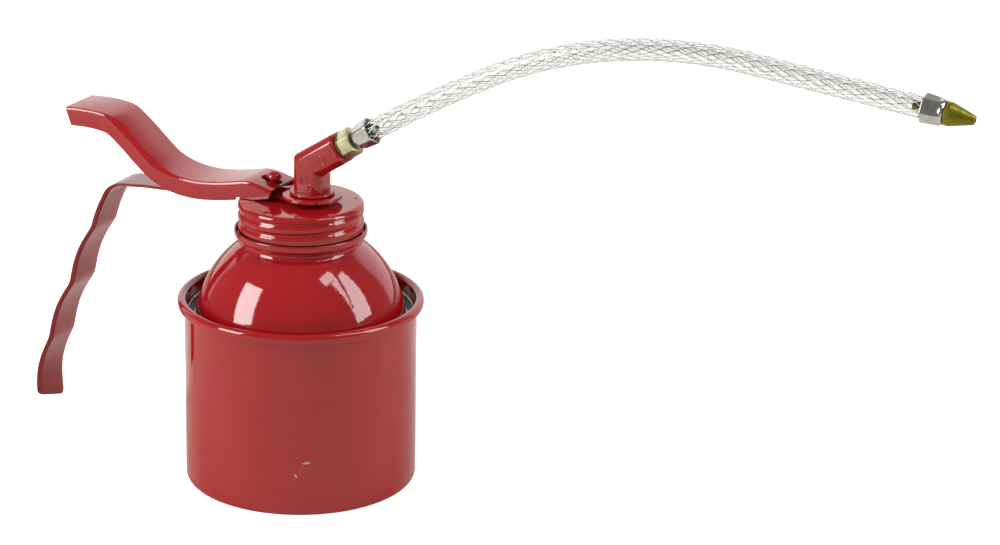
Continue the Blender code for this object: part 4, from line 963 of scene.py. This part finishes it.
@dataclass
class Handle:
    """The pressed channel lever and the pump rod's round head.

    Attributes:
        start: Distance of the lever's inner end from the can's axis.
        reach: Length of the lever along X.
        rise: Height of its highest point over the cap.
        cap_top: Height of the cap's top.
        half: Half the lever's width.
        flange: Depth of its flanges.
        sheet: Thickness of its sheet.
        folds: Outside radius of the folds at its flanges, where it lies level and where it is steep.
        crown: How far its top stands over the middle of its sheet.
    """

    start: float = 7.6 * MM
    reach: float = 90.0 * MM
    rise: float = 24.7 * MM
    cap_top: float = CAP_TOP
    half: float = 9.8 * MM
    flange: float = 7.1 * MM
    sheet: float = 1.0 * MM
    folds: tuple[float, float] = (1.5 * MM, 3.4 * MM)
    crown: float = 0.45 * MM

    def build(self, shop: Workshop) -> None:
        """Build the lever and the rod."""
        self._lever(shop)
        self._rod(shop)

    def _line(self) -> list[Vector]:
        """The lever's top line from its inner end outwards."""
        shares = (
            (0.0, 0.180), (0.071, 0.248), (0.128, 0.264), (0.201, 0.213), (0.285, 0.162),
            (0.375, 0.139), (0.460, 0.176), (0.533, 0.277), (0.594, 0.446), (0.656, 0.648),
            (0.718, 0.834), (0.769, 0.943), (0.836, 0.988), (0.915, 1.0), (1.0, 0.984),
        )
        low = self.cap_top + self.crown
        return smooth_line([(-self.start - self.reach * out, low + self.rise * up) for out, up in shares], 10)

    def _section(self, fold: float) -> list[Point]:
        """The channel's section for one outside radius of its folds, as places across and down."""
        turn = math.radians(55.0)
        centre = (self.half - fold, fold * math.sin(turn))
        side = [(*spot, 0.0) for spot in arc(centre, fold, -turn, 0.0, 8)]
        side[0] = (*side[0][:2], 0.25 * MM)
        side += [(self.half, self.flange, 0.3 * MM), (self.half - self.sheet, self.flange, 0.3 * MM)]
        inside = max(fold - self.sheet, 0.2 * MM)
        start = (self.half - self.sheet - inside, max(centre[1], self.sheet + inside))
        side += [(*spot, 0.0) for spot in arc(start, inside, 0.0, -QUARTER, 5)]
        return rounded(side + [(-across, down, radius) for across, down, radius in reversed(side)], 3)

    def _lever(self, shop: Workshop) -> None:
        """The channel, with its toe cut to rock on the cap and its keyhole."""
        stations = outward(self._line())
        level = self._section(self.folds[0])
        steep = dict(zip(level, self._section(self.folds[1])))

        def fold(at: int, spot: Point) -> Point:
            """Section point at a station, between the level and the steep section."""
            share = min(1.0, (1.0 - abs(stations[at][1].z)) / 0.2)
            return tuple(one + (two - one) * share for one, two in zip(spot, steep[spot]))

        shape = swept(stations, level, fold)
        tip = Vector((-self.start - self.reach + 0.4 * MM, 0.0, self.cap_top + self.crown + self.rise))
        bmesh.ops.bisect_plane(
            shape, geom=shape.verts[:] + shape.edges[:] + shape.faces[:], plane_co=tip,
            plane_no=(-self.flange, 0.0, -2.6 * MM), clear_outer=True,
        )
        bmesh.ops.holes_fill(shape, edges=[edge for edge in shape.edges if edge.is_boundary])
        wide, floor, web_z = self.half + 1.0 * MM, self.cap_top + GAP, 111.60 * MM
        heel, lip = Vector((-15.0 * MM, 0.0, floor)), Vector((-9.6 * MM, 0.0, web_z))
        way = (lip - heel).normalized()
        wedge = bmesh.new()
        bmesh.ops.create_cube(wedge, size=1.0)
        size = Matrix.Diagonal((12.0 * MM, 2 * wide, 3.0 * MM, 1.0))
        turn = Matrix.Rotation(-math.atan2(way.z, way.x), 4, "Y")
        wedge.transform(Matrix.Translation(heel) @ turn @ Matrix.Translation((5.0 * MM, 0.0, -1.5 * MM)) @ size)
        low, high = self.cap_top + 0.6 * MM, self.cap_top + self.rise
        hole, slot, narrow = -13.4 * MM, -10.5 * MM, 2.25 * MM
        cuts = [
            block((-22.8 * MM, -wide, floor - self.flange), (1.0 * MM, wide, floor)), tool(wedge),
            block((-8.9 * MM, -wide, floor - MM), (0.0, wide, web_z)),
            drill(3.1 * MM, low, high, (hole, 0.0)), drill(narrow, low, high, (slot, 0.0)),
            block((hole, -narrow, low), (slot, narrow, high)),
        ]
        shop.add("lever_channel", shape, shop.palette.enamel, Body.LEVER, ["pump_lever"], cuts)

    def _rod(self, shop: Workshop) -> None:
        """The rod with the domed head that the lever lifts, on its thicker neck."""
        box_low, box_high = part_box("pump_rod")
        radius, neck, head, under = 1.6 * MM, 1.85 * MM, 2.9 * MM, 116.95 * MM
        outline = [(0.0, box_low.z), (radius, box_low.z), (radius, under - 3.4 * MM), (neck, under - 3.0 * MM)]
        edge, low = 0.35 * MM, under + 0.4 * MM
        outline += [(neck, under), (head - 0.3 * MM, under)]
        outline += arc((head - edge, under + edge), edge, -QUARTER, 0.0, 5)
        dome = arc((0.0, 0.0), 1.0, 0.0, QUARTER, 16)
        outline += [(head * across, low + 2.3 * MM * up) for across, up in dome]
        shape = lathe(outline, 48, Matrix.Translation(((box_low.x + box_high.x) / 2, 0.0, 0.0)))
        shop.add("rod_ball", shape, shop.palette.enamel, Body.ROD, ["pump_rod"])


# ---------------------------------------------------------------- spout


@dataclass(frozen=True)
class Bend:
    """One bend of the hose.

    Attributes:
        length: Its length.
        start: Its heading above the horizon where it starts.
        end: Its heading where it ends.
    """

    length: float
    start: float
    end: float


@dataclass
class Spout:
    """The hexagon, the ferrules, the clear hose with its braid, and the nozzle.

    Attributes:
        root: Where the hose's middle line starts.
        bends: The hose's course.
        outer: Hose's outside radius.
        bore: Hose's inside radius.
        yarns: Yarns of the braid each way round.
        lead: Length of one turn of a yarn.
        tip_turn: Angle of the tip ferrule's flats.
        neck: Thickness of each ferrule's end wall.
        free: Stretch at each end of the hose. Its places are worked out from it but not used.
    """

    root: Vector = field(default_factory=lambda: Vector((24.928 * MM, 0.0, 138.121 * MM)))
    bends: tuple[Bend, ...] = (
        Bend(60.0 * MM, math.radians(33.0), math.radians(27.2)),
        Bend(103.6 * MM, math.radians(27.2), math.radians(-6.2)),
        Bend(68.0 * MM, math.radians(-6.2), math.radians(-6.2)),
    )
    outer: float = 4.0 * MM
    bore: float = 2.5 * MM
    yarns: int = 8
    lead: float = 53.0 * MM
    tip_turn: float = math.radians(19.0)
    neck: float = 1.7 * MM
    free: float = 12.0 * MM

    def build(self, shop: Workshop) -> None:
        """Build the spout's pieces."""
        self._nipple(shop)
        depth = self.neck + GAP
        start = self.bends[0].start
        lay = Matrix.Translation(self.root - self._way(start) * depth) @ self._turn(start)
        self._ferrule(shop, "ferrule_root", lay, 8.4 * MM, Body.HEAD, ["root_ferrule"])
        end, heading = self.place(self.length)
        crimp = Matrix.Translation(end + self._way(heading) * depth)
        lay = crimp @ self._turn(heading + math.pi) @ Matrix.Rotation(self.tip_turn, 4, "Z")
        self._ferrule(shop, "ferrule_tip", lay, 7.7 * MM, Body.SPOUT_TIP, ["tip_ferrule"])
        self._nozzle(shop, crimp @ self._turn(heading))
        self._hose(shop)

    @property
    def length(self) -> float:
        """Length of the hose along its middle line."""
        return sum(bend.length for bend in self.bends)

    @staticmethod
    def _way(heading: float) -> Vector:
        """Unit vector of a heading in the XZ plane."""
        return Vector((math.cos(heading), 0.0, math.sin(heading)))

    @staticmethod
    def _turn(heading: float) -> Matrix:
        """Turn that lays +Z along a heading in the XZ plane."""
        return Matrix.Rotation(QUARTER - heading, 4, "Y")

    def place(self, distance: float) -> tuple[Vector, float]:
        """Place and heading of the middle line at a distance from the root."""
        point, heading = self.root.copy(), self.bends[0].start
        for bend in self.bends:
            run = min(distance, bend.length)
            heading = bend.start + (bend.end - bend.start) * run / bend.length
            half = (heading - bend.start) / 2
            chord = run * (math.sin(half) / half if half else 1.0)
            point = point + chord * self._way((bend.start + heading) / 2)
            distance -= run
            if distance <= 0.0:
                break
        return point, heading

    def _around(self, distance: float, radius: float, angle: float) -> Vector:
        """Point at a radius and an angle round the middle line."""
        point, heading = self.place(distance)
        up = Vector((-math.sin(heading), 0.0, math.cos(heading)))
        return point + radius * (up * math.cos(angle) + Vector((0.0, math.sin(angle), 0.0)))

    def _hose(self, shop: Workshop) -> None:
        """The clear tube, and the yarns laid in its wall both ways round."""
        stations = 150
        last = 2 * stations + 2

        def tube(along: float, round_at: float) -> Vector:
            """Point of the tube: out along its skin, then back along its bore."""
            at = round(along * last)
            radius, share = self.outer, (at % last) / stations
            if stations < at < last:
                radius, share = self.bore, (last - 1 - at) / stations
            return self._around(self.length * share, radius, FULL * round_at)

        self._bend(shop, "hose_tube", mapped(last, 56, tube), shop.palette.clear, ["hose_root", "hose_tip"])
        for name, side, middle, offset in (
            ("braid_right", 1.0, 3.97 * MM, 0.0), ("braid_left", -1.0, 3.92 * MM, 0.5),
        ):
            braid = bmesh.new()
            for yarn in range(self.yarns):
                self._yarn(braid, side, middle, FULL * (yarn + offset) / self.yarns)
            self._bend(shop, name, braid, shop.palette.yarn, [])

    def _yarn(self, braid: bmesh.types.BMesh, side: float, middle: float, phase: float) -> None:
        """Lay one flat yarn along the hose.

        Args:
            braid: Shape that the yarn is added to.
            side: 1 for right-hand turns, -1 for left-hand turns.
            middle: Radius that the yarn lies at.
            phase: Angle that it starts at.
        """
        steps, sides = 190, 6
        wide, thick = 0.2 * MM, 0.08 * MM
        inset = 0.4 * MM

        def strand(along: float, round_at: float) -> Vector:
            """Point of the yarn's skin."""
            angle = FULL * round_at
            distance = inset + (self.length - 2 * inset) * along
            turn = phase + side * FULL * distance / self.lead + wide * math.cos(angle) / middle
            return self._around(distance, middle + thick * math.sin(angle), turn)

        def inner_shade(round_at: float) -> float:
            """Share of painted shade on the yarn's skin, most on its inner side."""
            return 0.5 - 0.5 * math.sin(FULL * round_at)

        mesh = as_mesh("yarn", mapped(steps, sides, strand, True, inner_shade))
        braid.from_mesh(mesh)
        bpy.data.meshes.remove(mesh)

    def _bend(self, shop: Workshop, name: str, shape: bmesh.types.BMesh, paint: bpy.types.Material,
              replaces: list[str]) -> None:
        """Make a piece that runs from the head to the spout's tip, set in the can's frame."""
        made = shop.loose(name, shape, paint)
        start, _ = self.place(self.free)
        end, _ = self.place(self.length - self.free)
        tuple(start)
        tuple(end)
        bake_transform(made)
        if replaces:
            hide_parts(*replaces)
        shop.pieces.append(made)

    def _nipple(self, shop: Workshop) -> None:
        """The hexagon with its chamfers, its thread and its barb."""
        start = self.bends[0].start
        hex_end = self.root - self._way(start) * (self.neck + 2 * GAP)
        lay = Matrix.Translation(hex_end) @ self._turn(start)
        length, corner, thread, bore = 5.3 * MM, 5.6 * MM, 3.4 * MM, 1.3 * MM
        flats = Matrix.Rotation(math.radians(30.0), 4, "Z")
        shape = prism(corner, length, 6, Matrix.Translation((0.0, 0.0, -length / 2)) @ flats)
        soften(shape, list(shape.edges), 0.18 * MM, 2)
        shape.transform(lay)
        shop.add("nipple_hexagon", shape, shop.palette.zinc, Body.HEAD, ["spout_nipple"], (), 24.0)
        low, high, barb = -length - 5.4 * MM, -length + 0.1 * MM, self._barb()
        outline = [(bore, low), (thread, low), (thread, high), (barb[0][0], high), *barb, (bore, barb[-1][1])]
        shop.add("nipple_stem", lathe(outline, 40, lay), shop.palette.zinc, Body.HEAD)

    @staticmethod
    def _barb() -> list[Point]:
        """Outside line of a barb: three ridges and its end."""
        outline = []
        for ridge in range(3):
            top = 2.75 + 2.75 * ridge
            outline += mm((1.9, top - 1.6), (2.1, top - 0.1), (1.9, top))
        return outline + mm((1.9, 11.0))

    def _ferrule(self, shop: Workshop, name: str, lay: Matrix, end: float, body: Body,
                 replaces: list[str]) -> None:
        """A bright ferrule crimped to a hexagon, with a round flared mouth.

        Args:
            shop: Makes the piece.
            name: Its name.
            lay: Puts its small end in place, with its mouth along +Z.
            end: Its length.
            body: Body that it rides on.
            replaces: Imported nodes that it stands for.
        """
        bore = self.outer + GAP
        stepped = body is Body.HEAD
        round_end, pressed = 1.2 * MM if stepped else 0.5 * MM, 1.2 * MM
        if stepped:
            outline = mm((2.4, 0.0), (3.1, 0.0), (3.1, 0.6))
            outline += arc((3.8 * MM, 0.85 * MM), 0.25 * MM, -QUARTER, 0.0, 5)
            outline += mm((4.1, 1.0), (4.3, 1.3), (4.7, 1.9), (5.0, 2.3))
        else:
            outline = mm((2.4, 0.0), (4.2, 0.0), (4.5, 0.3), (4.8, 0.9), (5.0, 1.6))
        outline += [((5.05 + 0.045 * step) * MM, 2.5 * MM + (end - 3.2 * MM) * step / 10) for step in range(11)]
        outline += arc((5.2 * MM, end - 0.3 * MM), 0.3 * MM, 0.0, QUARTER, 5)
        outline += [(bore + 0.5 * MM, end), (bore, end - 0.5 * MM), (bore, self.neck), (2.4 * MM, self.neck)]
        shape = lathe(outline, 120)
        half = math.pi / 6
        for vert in shape.verts:
            radius = math.hypot(vert.co.x, vert.co.y)
            if radius < bore + 0.2 * MM or vert.co.z < round_end:
                continue
            away = math.atan2(vert.co.y, vert.co.x) % (2 * half) - half
            press = min(1.0, (vert.co.z - round_end) / pressed)
            flat = math.cos(half) / math.cos(away)
            corner = 1.0 - 0.035 * max(0.0, abs(away) / half - 0.8) / 0.2
            factor = 1.0 + (flat * corner - 1.0) * press
            vert.co.x *= factor
            vert.co.y *= factor
        shape.transform(lay)
        shop.add(name, shape, shop.palette.nickel, body, replaces, (), 22.0)

    def _nozzle(self, shop: Workshop, lay: Matrix) -> None:
        """The turned brass nozzle: collar, cone and bored tip."""
        barb = [(radius, -along) for radius, along in reversed(self._barb())]
        outline = mm((0.7, -11.0)) + barb + [(barb[-1][0], GAP)]
        outline += rounded([(1.9 * MM, GAP, 0.0), (4.2 * MM, GAP, 0.3 * MM)] + mm(
            (4.2, 2.2, 0.8), (1.9, 9.9, 0.9), (1.6, 10.8, 0.5), (0.7, 10.8, 0.0),
        ), 6)[1:]
        shop.add("nozzle_cone", lathe(outline, 96, lay), shop.palette.brass, Body.SPOUT_TIP, ["spout_nozzle"])


# ---------------------------------------------------------------- pump inside


@dataclass
class PumpWorks:
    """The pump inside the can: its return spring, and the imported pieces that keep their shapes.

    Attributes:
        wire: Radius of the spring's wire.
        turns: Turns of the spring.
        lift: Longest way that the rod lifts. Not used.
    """

    wire: float = 0.5 * MM
    turns: int = 6
    lift: float = 1.3 * MM

    def build(self, shop: Workshop) -> None:
        """Build the return spring in its imported place."""
        low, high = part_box("return_spring")
        middle = (low + high) / 2
        radius, run = (high.x - low.x) / 2 - self.wire, high.z - low.z - 2 * self.wire

        def wind(along: float, round_at: float) -> Vector:
            """Point of the wire's skin."""
            angle, turn = FULL * self.turns * along, FULL * round_at
            reach = radius + self.wire * math.cos(turn)
            height = low.z + self.wire + run * along + self.wire * math.sin(turn)
            return Vector((middle.x + reach * math.cos(angle), middle.y + reach * math.sin(angle), height))

        coil = mapped(32 * self.turns, 10, wind, True)
        made = shop.add("spring_coil", coil, shop.palette.steel, Body.HEAD, ["return_spring"])
        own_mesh(made)

    def dress(self, shop: Workshop) -> None:
        """Give every inner piece its material."""
        palette = shop.palette
        for paint, nodes in (
            (palette.brass, (
                "pump_barrel", "foot_valve_body", "suction_tube", "rod_bush", "piston", "piston_seat",
            )),
            (palette.steel, ("suction_strainer", "piston_ball", "inlet_ball")),
            (palette.rubber, ("piston_seal", "rod_seal", "neck_gasket")),
            (palette.fibre, ("block_gasket", "nipple_washer")),
            (palette.casting, ("pump_block",)),
        ):
            for node in nodes:
                shop.dress(node, paint)


# ---------------------------------------------------------------- studio


@dataclass(frozen=True)
class Softbox:
    """A large soft light.

    Attributes:
        name: Its name.
        turn: Its bearing in degrees, 0 towards -Y and 90 towards +X.
        height: Its angle above the horizon, in degrees.
        size: Its width and height.
        power: Its power in watts.
        mirrored: Whether glossy surfaces show it.
        roll: Its turn about its own axis, in degrees.
    """

    name: str
    turn: float
    height: float
    size: Point
    power: float
    mirrored: bool = True
    roll: float = 0.0


def bearing(turn: float, height: float) -> Vector:
    """Unit vector at an angle from -Y towards +X, and at an angle above the horizon."""
    return Vector((math.sin(turn) * math.cos(height), -math.cos(turn) * math.cos(height), math.sin(height)))


@dataclass
class Studio:
    """The floor, the light and the camera.

    Attributes:
        boxes: The soft lights.
        distance: Distance of each light from the can.
    """

    boxes: tuple[Softbox, ...] = (
        Softbox("softbox_left", -42.0, 25.0, (0.52, 0.82), 16.0, True, 14.0),
        Softbox("softbox_right", 104.0, 32.0, (0.50, 1.05), 12.0),
        Softbox("softbox_high", 88.0, 60.0, (0.34, 0.22), 1.7),
        Softbox("softbox_top", 20.0, 84.0, (0.9, 0.9), 2.8, False),
    )
    distance: float = 1.25

    def build(self) -> None:
        """Build the whole studio."""
        self._floor()
        self._world()
        for box in self.boxes:
            self._light(box)
        self._camera()
        bpy.context.scene.view_settings.view_transform = "Standard"

    def _floor(self) -> None:
        """A pale floor that clips to white for the camera, which hides the can's shadow on it."""
        shape = bmesh.new()
        bmesh.ops.create_grid(shape, x_segments=1, y_segments=1, size=6.0)
        floor = placed("floor", as_mesh("floor", shape))
        paint = bpy.data.materials.new("pale_floor")
        paint.use_nodes = True
        tree = paint.node_tree
        tree.nodes.clear()
        path = add_node(tree, "ShaderNodeLightPath")
        through = calc(tree, "MULTIPLY", path.outputs["Is Transmission Ray"], 0.6)
        seen = calc(tree, "MAXIMUM", path.outputs["Is Camera Ray"], through)
        lit = add_node(tree, "ShaderNodeBsdfDiffuse", {"Color": srgb("#ebe7e0")})
        glow = add_node(tree, "ShaderNodeEmission", {"Color": srgb("#ffffff"), "Strength": 0.92})
        both = add_node(tree, "ShaderNodeAddShader", {0: lit.outputs[0], 1: glow.outputs[0]})
        mixed = add_node(tree, "ShaderNodeMixShader", {0: seen, 1: lit.outputs[0], 2: both.outputs[0]})
        add_node(tree, "ShaderNodeOutputMaterial", {"Surface": mixed.outputs[0]})
        floor.data.materials.append(paint)

    def _world(self) -> None:
        """White to the camera; to all other rays a white screen behind the can in a darker room."""
        world = bpy.data.worlds.new("studio_world")
        world.use_nodes = True
        tree = world.node_tree
        tree.nodes.clear()
        way = add_node(tree, "ShaderNodeTexCoord").outputs["Generated"]
        height = add_node(tree, "ShaderNodeSeparateXYZ", {0: way}).outputs["Z"]
        level = add_node(tree, "ShaderNodeVectorMath", {0: way, 1: (1.0, 1.0, 0.0)}, operation="MULTIPLY")
        flat = add_node(tree, "ShaderNodeVectorMath", {0: level.outputs[0]}, operation="NORMALIZE")
        behind = (-0.42, 0.91, 0.0)
        dots = (
            add_node(tree, "ShaderNodeVectorMath", {0: line, 1: behind}, operation="DOT_PRODUCT")
            for line in (way, flat.outputs[0])
        )
        facing = [dot.outputs["Value"] for dot in dots]
        under = calc(tree, "SUBTRACT", calc(tree, "MULTIPLY_ADD", facing[0], 0.42, 0.32), height)
        screen = calc(tree, "MULTIPLY", ramp(tree, under, -0.08, 0.08), ramp(tree, facing[1], 0.56, 0.64))
        room = mix(tree, screen, srgb("#757473"), srgb("#f4f1f0"))
        path = add_node(tree, "ShaderNodeLightPath")
        strength = 0.19
        for ray, power in (("Is Glossy Ray", 1.5), ("Is Transmission Ray", 1.35)):
            strength = calc(tree, "MAXIMUM", calc(tree, "MULTIPLY", path.outputs[ray], power), strength)
        around = add_node(tree, "ShaderNodeBackground", {"Color": room, "Strength": strength})
        white = add_node(tree, "ShaderNodeBackground", {"Color": srgb("#ffffff"), "Strength": 1.0})
        mixed = add_node(tree, "ShaderNodeMixShader", {
            0: path.outputs["Is Camera Ray"], 1: around.outputs[0], 2: white.outputs[0],
        })
        add_node(tree, "ShaderNodeOutputWorld", {"Surface": mixed.outputs[0]})
        bpy.context.scene.world = world

    def _light(self, box: Softbox) -> None:
        """Hang one softbox, facing the can."""
        light = bpy.data.lights.new(box.name, "AREA")
        light.shape = "RECTANGLE"
        light.size, light.size_y = box.size
        light.energy = box.power
        turn, height = math.radians(box.turn), math.radians(box.height)
        away = bearing(turn, height)
        made = placed(box.name, light)
        made.location = Vector((0.0, 0.0, 0.08)) + away * self.distance
        made.rotation_mode = "QUATERNION"
        made.rotation_quaternion = Quaternion(away, math.radians(box.roll)) @ away.to_track_quat("Z", "Y")
        made.visible_camera = False
        made.visible_glossy = box.mirrored
        made.visible_transmission = False

    def _camera(self) -> None:
        """The camera at the photograph's viewing angle."""
        turn, height, roll = math.radians(25.0), math.radians(19.179), math.radians(1.19)
        right = Vector((math.cos(turn), math.sin(turn), 0.0))
        back = bearing(turn, height)
        up = back.cross(right)
        rolled_right = right * math.cos(roll) + up * math.sin(roll)
        rolled_up = up * math.cos(roll) - right * math.sin(roll)
        lens = bpy.data.cameras.new("camera")
        lens.sensor_width = 36.0
        lens.lens = 114.44
        lens.clip_start, lens.clip_end = 0.05, 20.0
        camera = placed("camera", lens)
        matrix = Matrix((rolled_right, rolled_up, back)).transposed().to_4x4()
        matrix.translation = right * 75.145 * MM + Vector((0.0, 0.0, 82.796 * MM)) + back * 1.2
        camera.matrix_world = matrix
        bpy.context.scene.camera = camera


def main() -> None:
    """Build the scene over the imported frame."""
    logging.basicConfig(level=logging.INFO, format="%(name)s: %(message)s")
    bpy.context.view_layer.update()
    shop = Workshop(Palette())
    Studio().build()
    Vessel().build(shop)
    Head().build(shop)
    Handle().build(shop)
    Spout().build(shop)
    works = PumpWorks()
    works.build(shop)
    works.dress(shop)
    LOG.info("%d pieces, hose %.1f mm", len(shop.pieces), Spout().length / MM)


if __name__ == "__main__":
    main()
